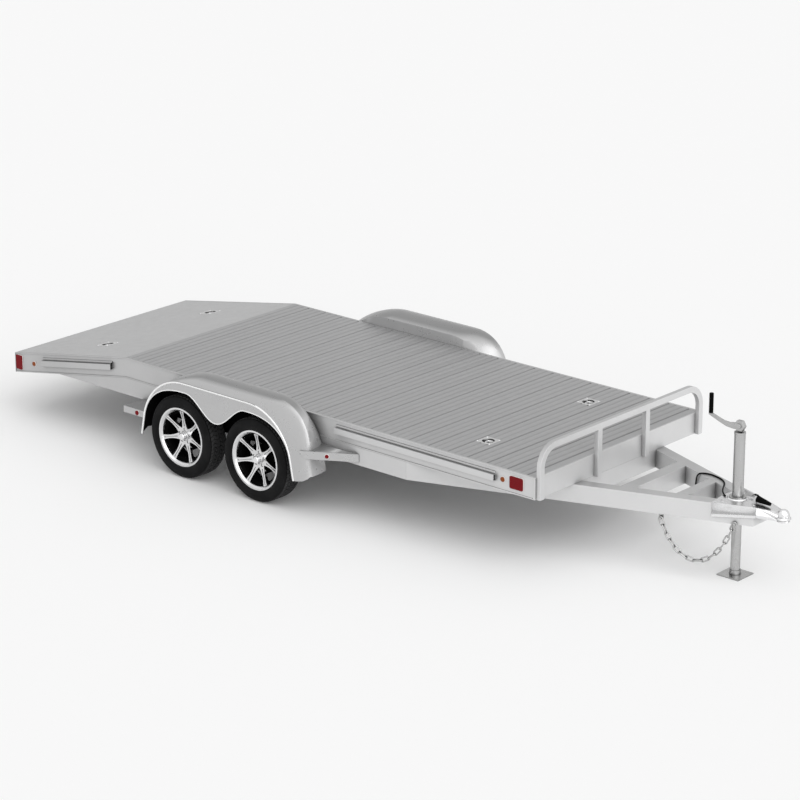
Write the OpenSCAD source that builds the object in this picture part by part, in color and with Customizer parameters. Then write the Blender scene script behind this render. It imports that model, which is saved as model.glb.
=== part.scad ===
// Open tandem-axle car trailer with a fixed sloping tail, millimetres.
// X runs forward to the coupler, Y to the trailer's left, Z up from level ground.
// The origin is on the ground, midway between the tail and the coupler's nose.

/* [Deck] */
// Width over the two side rails
deck_w = 2083; // [1900:1:2150]
// Length of the level deck, from the bend to the front plate
main_len = 4437; // [4300:1:4600]
// Length of the sloping tail, measured level
tail_len = 1401; // [1250:1:1500]
// Drop of the tail from the deck to the rear edge
tail_drop = 250; // [200:1:280]
// Height of the deck's top over the ground
deck_z = 792; // [780:1:820]
// Distance from the middle of the axle pair forward to the front plate's face
front_reach = 3122; // [3100:1:3180]
// Thickness of the floor planks
deck_t = 32; // [28:1:40]
// Pitch of the ribs across the level deck
rib_pitch = 66; // [60:1:72]
// Width of a rib's flat top
rib_top = 46; // [40:1:50]
// Depth of the groove between ribs
rib_depth = 3.5; // [2:0.5:5]
// Depth of the seam between two planks
seam_depth = 11; // [6:1:14]
// Pitch of the fine ribs across the tail
tail_rib_pitch = 31; // [26:1:36]

/* [Frame] */
// Depth of the side rails and the front plate
rail_h = 178; // [170:1:185]
// Thickness of a side rail's web
rail_t = 8; // [6:1:12]
// Setback of the web behind the rail's top and bottom edges
rail_recess = 6; // [4:1:8]
// Width of the side rail's top edge beside the planks
rail_lip = 24; // [18:1:30]
// Thickness of the side rail's top edge
rail_lip_t = 10; // [8:1:14]
// Thickness of the front plate
plate_t = 16; // [12:1:20]
// Thickness of the tail plate
tail_plate_t = 8; // [6:1:12]
// Width of the main and tongue beams
beam_w = 100; // [80:1:102]
// Depth of the main and tongue beams
beam_h = 148; // [140:1:152]
// Distance from the middle of the axle pair to the bend in the beams
bend_reach = 1836; // [1800:1:1900]
// Width of the tongue's square front end
tongue_tip_w = 179; // [165:1:195]
// Distance from the middle of the axle pair to the tongue's square front end
tongue_reach = 4445; // [4430:1:4470]
// Distance from the front plate's face forward to the tongue's first crossmember
cross_a_gap = 288; // [230:1:330]
// Width of the first crossmember
cross_a_w = 105; // [90:1:115]
// Distance from the front plate's face forward to the second crossmember
cross_b_gap = 698; // [660:1:710]
// Width of the second crossmember
cross_b_w = 85; // [75:1:100]
// Width of the crossmember under the front plate
cross_front_w = 90; // [80:1:100]
// Width of a floor joist
joist_w = 50; // [40:1:60]
// Number of joists under the level deck
main_joists = 9; // [7:1:11]
// Number of joists under the tail
tail_joists = 3; // [2:1:4]

/* [Front guard] */
// Distance from a rail's outer edge in to the guard hoop's leg
guard_inset = 17.5; // [10:0.5:40]
// Height of the hoop's top over the ground
guard_top = 1045; // [1000:1:1100]
// Outer radius of the hoop's corners
guard_r = 185; // [150:1:200]
// Size of the hoop's tube across the trailer
guard_tube = 51; // [44:1:56]
// Size of the hoop's tube along the trailer
guard_depth = 38; // [32:1:44]
// Wall of the hoop's tube
guard_wall = 4; // [3:0.5:6]
// Distance of a middle post from the centreline
guard_post_y = 300; // [250:1:350]

/* [Side tracks] */
// Distance from the level deck's front face back to the front track
track_front_gap = 385; // [360:1:420]
// Length of a front track
track_front_len = 1640; // [1500:1:1660]
// Distance from the rear edge to a tail track
track_tail_gap = 360; // [340:1:400]
// Length of a tail track
track_tail_len = 882; // [800:1:900]
// Depth of the tracks' upper edge below the deck
track_drop = 38; // [34:1:42]
// Height of a track's hollow rail
track_h = 50; // [44:1:54]
// How far the hollow rail stands out
track_out = 30; // [26:1:34]
// Wall of the hollow rail
track_wall = 3; // [2:0.5:4]

/* [Wheels] */
// Distance between the two axles
axle_gap = 848; // [810:1:860]
// Radius of a tyre
tyre_r = 352; // [345:1:356]
// Width of a tyre
tyre_w = 214; // [205:1:216]
// Distance from a rail's outer edge out to the middle of a tyre
wheel_gap = 141.5; // [139:0.5:144]
// Radius of the rim's flange
rim_r = 251; // [246:1:254]
// Width of the rim
rim_w = 190; // [180:1:194]
// Number of spokes
spokes = 7; // [5:1:8]
// Radius of a brake drum
drum_r = 132; // [120:1:140]
// Radius of the spindle
spindle_r = 22; // [18:1:24]
// Running gap round the spindle
spindle_gap = 0.08; // [0.05:0.01:0.1]
// Radius of the hub's pilot in the rim
pilot_r = 36; // [32:1:38]
// Number of wheel nuts on a hub
nuts = 5; // [4:1:6]
// Radius of the circle of wheel nuts
nut_circle_r = 57; // [54:1:60]
// Forward offset of the axle tube from the spindles
arm_reach = 130; // [110:1:150]
// Side of the square axle tube
axle_tube = 76; // [70:1:80]

/* [Fenders] */
// Radius of the fender's outer outline
fender_r = 475; // [468:1:480]
// Distance of the outline's two arc centres from the middle of the axle pair
fender_half = 370; // [360:1:385]
// Height of the arcs' centres over the ground
fender_cz = 360; // [355:1:365]
// Height of the fender's lower ends over the ground
fender_foot = 290; // [270:1:310]
// Distance from a rail's outer edge out to the fender's outer face
fender_out = 253.5; // [252:0.5:258]
// Wall of the fender
fender_t = 4; // [3:0.5:5]
// Radius of the bead rolled along the outer edge
bead_r = 9; // [7:0.5:10]
// Radius of the hem along the wheel arches
hem_r = 5; // [4:0.5:6]
// Height of the skirt's lowest point between the wheels
skirt_z = 571; // [560:1:590]

/* [Steps] */
// Height of the front step's top over the ground
step_front_z = 560; // [550:1:570]
// Thickness of the steps' folded sheet
step_t = 5; // [4:0.5:6]
// Distance from the middle of the axle pair to the front step's tip
step_front_tip = 1345; // [1310:1:1370]
// Height of a front step's face
step_front_h = 66; // [60:1:70]
// Height of the rear step's top over the ground
step_rear_z = 474; // [470:1:480]
// Distance from the middle of the axle pair back to the rear step's end
step_rear_end = 1108; // [1080:1:1160]
// How far the rear step stands out from the beam
step_rear_out = 225; // [200:1:240]
// Height of a rear step's face
step_rear_h = 57; // [50:1:60]

/* [Tongue jack] */
// Distance from the tongue's front end back to the jack
jack_back = 209; // [195:1:220]
// Outer radius of the jack's outer tube
jack_r = 42; // [40:1:44]
// Radius of the jack's inner tube
jack_leg_r = 37; // [35:1:38]
// Running gap between the jack's tubes
jack_gap = 0.5; // [0.3:0.1:0.8]
// Height of the outer tube's top over the ground
jack_top = 1145; // [1120:1:1160]
// Side of the foot plate
foot_w = 200; // [180:1:210]
// Thickness of the foot plate
foot_t = 10; // [8:1:12]
// Reach of the crank from the jack's axis to its grip
crank_reach = 270; // [240:1:290]
// Length of the crank's grip
grip_len = 157; // [130:1:165]
// Radius of the crank's grip
grip_r = 17; // [15:1:19]

/* [Coupler] */
// Distance from the tongue's front end forward to the ball's centre
ball_out = 207; // [200:1:215]
// Radius of the ball socket
socket_r = 29.8; // [25.6:0.1:30]
// Height of the ball's centre over the ground
ball_z = 588; // [580:1:592]
// Outer radius of the ball housing
housing_r = 46; // [42:1:48]
// Radius of the lip round the housing's mouth
mouth_r = 58; // [54:1:60]
// Thickness of the coupler's plate
coupler_t = 7; // [6:1:8]
// Length of the coupler's plate over the tongue, back from the tongue's front end
coupler_lap = 300; // [285:1:315]
// Height of the coupler's side flanges at their rear
coupler_side_h = 106; // [100:1:115]

/* [Safety chain] */
// Diameter of the chain's bar
chain_d = 11; // [9:0.5:12]
// Inner length of a link
link_inner = 62; // [54:1:70]
// Outer width of a link
link_w = 42; // [38:1:46]
// Number of links
links = 15; // [13:2:17]
// Distance from the tongue's front end back to the chain's rear anchor
chain_rear_back = 670; // [645:1:700]
// Distance from the tongue's front end back to the chain's front anchor
chain_front_back = 129; // [115:1:145]

/* [Tie-down rings] */
// Distance from the middle of the axle pair forward to the front rings
ring_front = 2319; // [2200:1:2400]
// Distance from the middle of the axle pair back to the tail rings
ring_tail = 1973; // [1900:1:2050]
// Distance from a rail's outer edge in to the rings
ring_inset = 416.5; // [360:0.5:480]
// Side of a ring's square pan
pan_w = 146; // [136:1:156]
// Radius of a pan's round recess
pan_r = 50; // [48:1:54]
// Depth of a pan's recess
pan_depth = 24; // [22:1:26]
// Mean radius of a D-ring's bow
ring_r = 30; // [27:1:32]
// Radius of a D-ring's bar
ring_bar = 6; // [5:0.5:6.5]

/* [Hidden] */
$fn = 64;

// Named positions along the trailer, measured from the middle of the axle pair.
front_x = front_reach;
kink_x = front_x - main_len;
tail_x = kink_x - tail_len;
ball_x = tongue_reach + ball_out;
nose_x = ball_x + mouth_r;
mid_x = (nose_x + tail_x) / 2;
half_w = deck_w / 2;
web_y = half_w - rail_recess;
tail_slope = tail_drop / tail_len;
tail_angle = atan(tail_slope);
beam_top = deck_z - rail_h;
beam_z = beam_top - beam_h;

// The tongue narrows in a straight line from the bend to its square end; the lines meet at the apex.
tongue_slope = (half_w - tongue_tip_w / 2) / (tongue_reach - bend_reach);
apex_reach = tongue_reach + tongue_tip_w / 2 / tongue_slope;
tongue_angle = atan(tongue_slope);
beam_w_y = beam_w / cos(tongue_angle);
beam_inner_y = half_w - beam_w;
bend_inner_x = apex_reach - (beam_inner_y + beam_w_y) / tongue_slope;
beams_meet_x = apex_reach - beam_w_y / tongue_slope;
function tongue_outer_y(x) = (apex_reach - x) * tongue_slope;
function tongue_inner_y(x) = tongue_outer_y(x) - beam_w_y;
function top_at(x) = x < kink_x ? deck_z - (kink_x - x) * tail_slope : deck_z;

// Shared finishes.
metal = [0.78, 0.79, 0.80];
metal_dark = [0.62, 0.63, 0.64];
chrome = [0.85, 0.85, 0.86];
rubber = [0.09, 0.09, 0.09];
zinc = [0.72, 0.72, 0.70];

// Moves the drawing frame from the middle of the axle pair to the part's origin.
module placed() {
  translate([-mid_x, 0, 0])
    children();
}

// Draws a piece of the left side, or its mirror image on the right.
module on_side(side) {
  mirror([0, side == "right" ? 1 : 0, 0])
    children();
}

// A side outline (X, Z) with thickness from y1 to y2.
module side_plate(points, y1, y2) {
  translate([0, y2, 0])
    rotate([90, 0, 0])
      linear_extrude(y2 - y1)
        polygon(points);
}

// A band that follows the deck's top line between two depths below it.
function band(d1, d2, x1, x2) =
  let (bends = x1 < kink_x && x2 > kink_x)
  concat(
    [[x1, top_at(x1) - d1]],
    bends ? [[kink_x, deck_z - d1]] : [],
    [[x2, top_at(x2) - d1], [x2, top_at(x2) - d2]],
    bends ? [[kink_x, deck_z - d2]] : [],
    [[x1, top_at(x1) - d2]]
  );

function unit(v) = v / norm(v);
function route_dir(route, i) = let (n = len(route)) unit(route[min(i + 1, n - 1)] - route[max(i - 1, 0)]);

// An eight-sided tube along a route; the side direction is kept square to `up`.
module swept_tube(route, r, up) {
  n = len(route);
  points = [for (i = [0 : n - 1])
    let (d = route_dir(route, i), u = unit(cross(d, up)), w = cross(u, d))
    each [for (k = [0 : 7]) route[i] + r * (cos(k * 45) * u + sin(k * 45) * w)]];
  faces = concat([[for (k = [7 : -1 : 0]) k]], [[for (k = [0 : 7]) (n - 1) * 8 + k]],
    [for (i = [0 : n - 2]) each [for (k = [0 : 7])
      [i * 8 + k, i * 8 + (k + 1) % 8, (i + 1) * 8 + (k + 1) % 8, (i + 1) * 8 + k]]]);
  polyhedron(points = points, faces = faces, convexity = 4);
}

// Deck floor

floor_half = half_w - rail_lip;
floor_front = front_x - plate_t;
floor_tail = tail_x + tail_plate_t;
rib_count = floor((floor_front - kink_x) / rib_pitch);
rib_slope = (rib_pitch - rib_top) / 3;
ribs_per_plank = 3;
tail_rib_depth = 1.5;
tail_rib_count = floor((kink_x - floor_tail) / tail_rib_pitch);
ring_y = half_w - ring_inset;
ring_places = [[ring_front, ring_y], [ring_front, -ring_y], [-ring_tail, ring_y], [-ring_tail, -ring_y]];
pan_fit = 0.3;
pan_cut = 100;

// Puts a piece drawn about the deck's surface at a ring's place.
module at_ring(p) {
  translate([p[0], p[1], top_at(p[0])])
    rotate([0, p[0] < kink_x ? -tail_angle : 0, 0])
      children();
}

module pan_pockets(sink) {
  for (p = ring_places)
    at_ring(p) {
      translate([-pan_w / 2 - pan_fit, -pan_w / 2 - pan_fit, -pan_flange_t])
        cube([pan_w + 2 * pan_fit, pan_w + 2 * pan_fit, sink]);
      translate([0, 0, -pan_depth - pan_wall - pan_fit])
        cylinder(r = pan_r + pan_wall + pan_fit, h = sink);
    }
}

module main_deck() {
  groove = [for (i = [0 : rib_count - 1])
    let (x = kink_x + i * rib_pitch + rib_top,
         z = deck_z - (i % ribs_per_plank == ribs_per_plank - 1 ? seam_depth : rib_depth))
    each [[x, deck_z], [x + rib_slope, z], [x + 2 * rib_slope, z], [x + 3 * rib_slope, deck_z]]];
  color(metal_dark)
    placed()
      difference() {
        side_plate(concat([[kink_x, deck_z - deck_t], [kink_x, deck_z]], groove,
          [[floor_front, deck_z], [floor_front, deck_z - deck_t]]), -floor_half, floor_half);
        pan_pockets(pan_cut);
      }
}

module tail_deck() {
  quarter = tail_rib_pitch / 4;
  ribs = [for (i = [0 : tail_rib_count - 1], k = [0 : 3]) let (x = floor_tail + i * tail_rib_pitch + k * quarter)
    [x, top_at(x) - (k < 2 ? 0 : tail_rib_depth)]];
  color(metal)
    placed()
      difference() {
        side_plate(concat(ribs, [[kink_x, deck_z], [kink_x, deck_z - deck_t],
          [floor_tail, top_at(floor_tail) - deck_t]]), -floor_half, floor_half);
        pan_pockets(pan_cut);
      }
}

// Side rails: a web set back between a top lip and a bottom toe.

rail_toe_t = 10;

module side_rail(side) {
  color(metal)
    placed()
      on_side(side) {
        side_plate(band(0, rail_h, floor_tail, floor_front), web_y - rail_t, web_y);
        side_plate(band(0, rail_lip_t, floor_tail, floor_front), floor_half, half_w);
        side_plate(band(rail_h - rail_toe_t, rail_h, floor_tail, floor_front), web_y - rail_t, half_w);
      }
}

track_ridge_h = 16;
track_ridge_out = 8;
track_base_h = track_ridge_h + track_h + 14;
track_rail_drop = track_drop + track_ridge_h + 6;

// One track: a base strip, a low ridge and a hollow rail, open at its ends.
module side_track(x1, x2) {
  base_out = web_y + track_wall;
  side_plate(band(track_drop, track_drop + track_base_h, x1, x2), web_y, base_out);
  side_plate(band(track_drop, track_drop + track_ridge_h, x1, x2), base_out, web_y + track_ridge_out);
  side_plate(band(track_rail_drop, track_rail_drop + track_wall, x1, x2), base_out, web_y + track_out);
  side_plate(band(track_rail_drop + track_h - track_wall, track_rail_drop + track_h, x1, x2),
    base_out, web_y + track_out);
  side_plate(band(track_rail_drop + track_wall, track_rail_drop + track_h - track_wall, x1, x2),
    web_y + track_out - track_wall, web_y + track_out);
}

module side_tracks() {
  front_end = front_x - track_front_gap;
  tail_end = tail_x + track_tail_gap;
  color(metal)
    placed()
      for (side = ["right", "left"])
        on_side(side) {
          side_track(front_end - track_front_len, front_end);
          side_track(tail_end, tail_end + track_tail_len);
        }
}

// Beams

module main_beam(side) {
  rear_x = kink_x - beam_h / tail_slope;
  color(metal)
    placed()
      on_side(side)
        intersection() {
          side_plate([[rear_x, beam_z], [bend_reach, beam_z], [bend_reach, beam_top], [kink_x, beam_top]],
            beam_inner_y, half_w);
          translate([0, 0, beam_z])
            linear_extrude(beam_h)
              polygon([[rear_x, beam_inner_y], [bend_inner_x, beam_inner_y],
                [bend_reach, half_w], [rear_x, half_w]]);
        }
}

module tongue_beam(side) {
  color(metal)
    placed()
      on_side(side)
        translate([0, 0, beam_z])
          linear_extrude(beam_h)
            polygon([[bend_reach, half_w], [bend_inner_x, beam_inner_y], [beams_meet_x, 0],
              [tongue_reach, 0], [tongue_reach, tongue_outer_y(tongue_reach)]]);
}

module cross_bar(x1, x2) {
  translate([0, 0, beam_z])
    linear_extrude(beam_h)
      polygon([[x1, -tongue_inner_y(x1)], [x2, -tongue_inner_y(x2)],
        [x2, tongue_inner_y(x2)], [x1, tongue_inner_y(x1)]]);
}

module tongue_crossmembers() {
  color(metal)
    placed() {
      cross_bar(front_x - cross_front_w, front_x);
      cross_bar(front_x + cross_a_gap, front_x + cross_a_gap + cross_a_w);
      cross_bar(front_x + cross_b_gap, front_x + cross_b_gap + cross_b_w);
    }
}

joist_gap = 0.1;

module joist(x) {
  side_plate(band(deck_t + joist_gap, rail_h, x, x + joist_w), rail_t - web_y, web_y - rail_t);
}

module deck_joists() {
  main_step = (floor_front - kink_x - joist_w) / main_joists;
  tail_step = (kink_x - floor_tail - joist_w) / tail_joists;
  color(metal_dark)
    placed() {
      for (i = [0 : main_joists])
        joist(kink_x + i * main_step);
      for (i = [0 : tail_joists - 1])
        joist(floor_tail + i * tail_step);
    }
}

module front_plate() {
  color(metal)
    placed()
      translate([front_x - plate_t, -half_w, beam_top])
        cube([plate_t, deck_w, rail_h]);
}

module tail_plate() {
  color(metal)
    placed()
      translate([tail_x, -half_w, top_at(tail_x) - rail_h])
        cube([tail_plate_t, deck_w, rail_h]);
}

// Front guard

module guard_section(width) {
  difference() {
    square([width, guard_depth]);
    translate([guard_wall, guard_wall])
      square([width - 2 * guard_wall, guard_depth - 2 * guard_wall]);
  }
}

guard_w = deck_w - 2 * guard_inset;

module guard_rail() {
  leg_h = guard_top - guard_r - beam_top;
  corner_y = guard_w / 2 - guard_r;
  post_h = guard_top - guard_tube - beam_top;
  color(metal)
    placed()
      translate([front_x, 0, 0]) {
        for (side = ["right", "left"])
          on_side(side) {
            translate([0, guard_w / 2, beam_top])
              rotate([0, 0, -90])
                linear_extrude(leg_h)
                  guard_section(guard_tube);
            translate([0, corner_y, guard_top - guard_r])
              rotate([90, 0, 90])
                rotate_extrude(angle = 90)
                  translate([guard_r - guard_tube, 0])
                    guard_section(guard_tube);
            translate([0, guard_post_y + guard_tube / 2, beam_top])
              rotate([0, 0, -90])
                linear_extrude(post_h)
                  guard_section(guard_tube);
          }
        translate([0, corner_y, guard_top])
          rotate([0, 90, 0])
            rotate([90, 0, 0])
              linear_extrude(2 * corner_y)
                guard_section(guard_tube);
      }
}

// Fenders: a skin lofted from the rail to the outer edge, with a skirt between the wheels.

fender_y = half_w + fender_out;
fender_steps = 14;
foot_flare = 38;
leg_angle = 15;
crown_power = 1.3;
front_lean = 1.5;
rear_lean = 4;
foot_rise = 55;
foot_fade = 40;
// Each section: distance outside the rail, rise over the outer outline, forward shift of the
// front arc low down and at its top, and forward shift of the rear arc low down and at its top.
fender_sections = [
  [0.3, deck_z - fender_cz - fender_r, 135, 135, 60, 150], [5, 42, 132, 132, 60, 150],
  [32, 66, 132, 155, 55, 190], [85, 90, 132, 205, 45, 225], [fender_out - 120, 96, 132, 235, 40, 225],
  [fender_out - 68, 88, 132, 255, 35, 215], [fender_out - 43, 72, 128, 225, 25, 180],
  [fender_out - 25, 50, 118, 170, 15, 120], [fender_out - 11, 26, 85, 95, 5, 60],
  [fender_out - 3, 8, 35, 35, 0, 20], [fender_out, 0, 0, 0, 0, 0]
];
edge_section = fender_sections[len(fender_sections) - 1];

// Points (distance from the middle, height) of half a section, from its top down to its foot.
function half_outline(s, front, shrink) =
  let (low = front ? s[2] : -s[4], high = front ? s[3] : -s[5], lean = front ? front_lean : rear_lean,
    arc = [for (i = [0 : fender_steps]) let (a = 90 - i * (90 - leg_angle) / fender_steps,
        r = fender_r - shrink + s[1] * pow(sin(a), crown_power))
      [fender_half + low + (high - low) * pow(sin(a), lean) + r * cos(a), fender_cz + r * sin(a)]],
    end = arc[fender_steps],
    foot_z = fender_foot + foot_rise * min(1, (fender_out - s[0]) / foot_fade))
  concat(arc, [[end[0] + foot_flare * (end[1] - foot_z) / (end[1] - fender_foot), foot_z]]);

// The whole outline of a section (X, Z), from the rear foot over the top to the front foot.
function fender_outline(s, shrink) = let (rear = half_outline(s, false, shrink), n = len(rear))
  concat([for (i = [n - 1 : -1 : 0]) [-rear[i][0], rear[i][1]]], half_outline(s, true, shrink));

// How far a section reaches from the middle of the axle pair at a height.
function reach_at(s, front, z) = lookup(z, [for (p = half_outline(s, front, 0)) [p[1], p[0]]]);

// Distance of the skin's inside from the rail: the upright inner wall and the outer shoulder keep
// their thickness across the trailer.
wall_zone = 10;
shoulder_from = 120;
shoulder_run = 90;
function inside_of(s) = s[0] + (s[0] < wall_zone ? fender_t : 0)
  - fender_t * min(1, max(0, (s[0] - shoulder_from) / shoulder_run));

module fender_skin() {
  n = 2 * (fender_steps + 2);
  m = len(fender_sections);
  outer = [for (s = fender_sections) each [for (p = fender_outline(s, 0)) [p[0], half_w + s[0], p[1]]]];
  inner = [for (s = fender_sections)
    each [for (p = fender_outline(s, fender_t)) [p[0], half_w + inside_of(s), p[1]]]];
  k = n * m;
  faces = concat(
    [for (j = [0 : m - 2]) each [for (i = [0 : n - 2])
      each [[j * n + i, (j + 1) * n + i + 1, j * n + i + 1], [j * n + i, (j + 1) * n + i, (j + 1) * n + i + 1]]]],
    [for (j = [0 : m - 2]) each [for (i = [0 : n - 2])
      each [[k + j * n + i, k + j * n + i + 1, k + (j + 1) * n + i + 1],
            [k + j * n + i, k + (j + 1) * n + i + 1, k + (j + 1) * n + i]]]],
    [for (i = [0 : n - 2]) each [[i, i + 1, k + i + 1], [i, k + i + 1, k + i]]],
    [for (i = [0 : n - 2]) let (a = (m - 1) * n + i) each [[a, k + a + 1, a + 1], [a, k + a, k + a + 1]]],
    [for (j = [0 : m - 2]) let (a = j * n, b = (j + 1) * n) each [[a, k + b, b], [a, k + a, k + b]]],
    [for (j = [0 : m - 2]) let (a = j * n + n - 1, b = (j + 1) * n + n - 1) each [[a, b, k + b], [a, k + b, k + a]]]
  );
  polyhedron(points = concat(outer, inner), faces = faces, convexity = 6);
}

arch_top_r = 397;
arch_side_gap = 8;
dip_half = 340;
arch_top_z = fender_cz + arch_top_r;
arch_steps = 14;
arch_spread = 70;

// Lower edge of the skirt on the front half, from the dip forward to the foot.
arch_front = concat(
  [for (i = [0 : arch_steps]) let (x = i * dip_half / arch_steps)
    [x, skirt_z + (arch_top_z - skirt_z) * (1 - cos(180 * x / dip_half)) / 2]],
  [for (i = [1 : arch_steps]) let (a = 90 - i * (90 - leg_angle) / arch_steps,
      grow = (1 - cos(180 * min(1, (90 - a) / arch_spread))) / 2,
      r = arch_top_r + (fender_r - arch_side_gap - arch_top_r) * grow)
    [fender_half + r * cos(a), fender_cz + r * sin(a)]],
  [[fender_half + (fender_r - arch_side_gap) * cos(leg_angle) + foot_flare, fender_foot]]
);
// The whole lower edge, from the front foot back to the rear foot.
arch_edge = concat([for (i = [len(arch_front) - 1 : -1 : 0]) arch_front[i]],
  [for (i = [1 : len(arch_front) - 1]) [-arch_front[i][0], arch_front[i][1]]]);

module fender(side) {
  color(metal)
    placed()
      on_side(side) {
        fender_skin();
        side_plate(concat(fender_outline(edge_section, 1), arch_edge), fender_y - fender_t, fender_y);
        swept_tube([for (p = fender_outline(edge_section, 2)) [p[0], fender_y - bead_r / 3, p[1]]],
          bead_r, [0, 1, 0]);
        swept_tube([for (p = arch_edge) [p[0], fender_y - fender_t / 2, p[1]]], hem_r, [0, 1, 0]);
      }
}

// Steps: folded sheets that follow the fender's face and are open below.

step_gap = 1;
// The front step's outer face runs slantwise from the fender's outer edge to the beam, and passes
// the fender's shoulder just clear of it.
step_corner_fwd = 85;
step_corner = [fender_half + fender_r + step_corner_fwd, fender_y + 1];
step_run = [step_front_tip, half_w + step_t] - step_corner;
step_turn = atan2(step_run[1], step_run[0]);
step_len = norm(step_run);
// The top plate lies under the face's upper edge by half the sheet.
step_inset = step_t / 2 * [sin(step_turn), -cos(step_turn)];
step_mitre = 45;
// Width of the fender's rounded shoulder, where the step's plate has no edge along the skin
step_shoulder = 15;
step_seat = 0.3;
step_rear_lap = 8;
step_sections = [for (s = fender_sections) if (s[0] < fender_out - step_shoulder) s];

// Places a piece on the front step's outer face, X along it and Y out of it.
module at_step_face() {
  translate([step_corner[0], step_corner[1], 0])
    rotate([0, 0, step_turn])
      children();
}

module step_front(side) {
  seat_z = step_front_z - step_t;
  color(metal)
    placed()
      on_side(side) {
        translate([0, 0, seat_z])
          linear_extrude(step_t)
            polygon(concat([for (s = step_sections) [reach_at(s, true, seat_z) + step_gap, half_w + s[0]]],
              [step_corner + step_inset, [step_front_tip, half_w + step_t] + step_inset,
              [step_front_tip - step_t, half_w + step_seat]]));
        at_step_face()
          side_plate([[0, step_front_z], [step_len, step_front_z], [step_len, step_front_z - step_front_h],
            [step_mitre, step_front_z - step_front_h]], -step_t, 0);
      }
}

module step_rear(side) {
  seat_z = step_rear_z - step_t;
  inner_sections = [for (s = step_sections) if (s[0] < step_rear_out - step_t) s];
  outer_y = half_w + step_rear_out;
  front_end = reach_at(step_sections[len(step_sections) - 1], false, step_rear_z - step_rear_h) + step_rear_lap;
  color(metal)
    placed()
      on_side(side) {
        translate([0, 0, seat_z])
          linear_extrude(step_t)
            polygon(concat([for (s = inner_sections) [-reach_at(s, false, seat_z) - step_gap, half_w + s[0]]],
              [[-front_end, outer_y], [-step_rear_end, outer_y], [-step_rear_end, half_w + step_seat]]));
        side_plate([[-step_rear_end, step_rear_z], [-front_end, step_rear_z],
          [-front_end, step_rear_z - step_rear_h], [-step_rear_end, step_rear_z - step_rear_h]],
          outer_y - step_t, outer_y);
        translate([-step_rear_end, half_w + step_seat, step_rear_z - step_rear_h])
          cube([step_t, step_rear_out - step_seat, step_rear_h]);
      }
}

// Axles and wheels

axle_z = tyre_r;
hub_face = half_w + wheel_gap;
brake_gap = 42;
drum_back = half_w + brake_gap;

module at_wheel(x, side) {
  translate([x, 0, axle_z])
    rotate([side == "right" ? 90 : -90, 0, 0])
      children();
}

function axle_x(place) = place == "front" ? axle_gap / 2 : -axle_gap / 2;

module axle(place) {
  x = axle_x(place);
  tube_z = beam_z - axle_tube;
  arm_y = half_w + 1;
  arm_t = 22;
  color(metal_dark)
    placed() {
      translate([x + arm_reach - axle_tube / 2, -half_w, tube_z])
        cube([axle_tube, deck_w, axle_tube]);
      for (side = ["right", "left"])
        at_wheel(x, side) {
          // Stub of the torsion shaft, the trailing arm, the spindle and the brake's back plate.
          translate([0, 0, arm_y])
            cylinder(r = 30, h = arm_t);
          translate([0, 0, arm_y + arm_t])
            cylinder(r = spindle_r, h = hub_face + 20 - arm_y - arm_t);
          translate([0, 0, arm_y + arm_t])
            cylinder(r = drum_r, h = 8);
        }
      for (side = ["right", "left"])
        on_side(side) {
          side_plate([[x - 18, axle_z - 24], [x + arm_reach + 20, tube_z + 8],
            [x + arm_reach + 20, tube_z + 68], [x - 18, axle_z + 24]], arm_y, arm_y + arm_t);
          translate([x + arm_reach, half_w - 20, tube_z + axle_tube / 2])
            rotate([-90, 0, 0])
              cylinder(r = 30, h = 21 + arm_t);
        }
    }
}

rim_half = rim_w / 2;
seat_r = rim_r - 22;
rim_profile = [
  [rim_r, rim_half], [rim_r, rim_half - 10], [seat_r, rim_half - 10.1], [seat_r, rim_half - 35],
  [seat_r - 24, rim_half - 50], [seat_r - 24, rim_half - 90], [seat_r, 5 - rim_half / 3],
  [seat_r, 10.1 - rim_half], [rim_r, 10 - rim_half], [rim_r, -rim_half],
  [rim_r - 8, -rim_half], [seat_r - 8, 15 - rim_half], [seat_r - 8, 7 - rim_half / 3],
  [seat_r - 32, rim_half - 90], [seat_r - 32, rim_half - 53], [seat_r - 9, rim_half - 33],
  [seat_r - 8, rim_half - 15], [rim_r - 15, rim_half]
];

spoke_steps = 8;
spoke_in = 40;
spoke_out = seat_r - 4;
// Half the width of a spoke: wide at the hub, narrow at two fifths, wider again at the rim.
function spoke_half(t) = 9 + 29 * pow(1 - t, 2.6) + 13 * pow(t, 3);

module spoke_outline() {
  side = [for (i = [0 : spoke_steps]) let (t = i / spoke_steps)
    [spoke_in + t * (spoke_out - spoke_in), spoke_half(t)]];
  polygon(concat(side, [for (i = [0 : spoke_steps]) [side[spoke_steps - i][0], -side[spoke_steps - i][1]]]));
}

flute_start = 84;
flute_depth = 5;

// A tapered flute along the middle of each spoke.
module spoke_flute() {
  polygon([[flute_start, -5], [flute_start, 5], [flute_start + 60, 2.5], [spoke_out - 12, 6],
    [spoke_out - 12, -6], [flute_start + 60, -2.5]]);
}

hub_front = 45;
stud_r = 7;
nut_r = 10;
nut_seat = 14;
dish_out = rim_half - 16;
spoke_t = 30;

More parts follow.
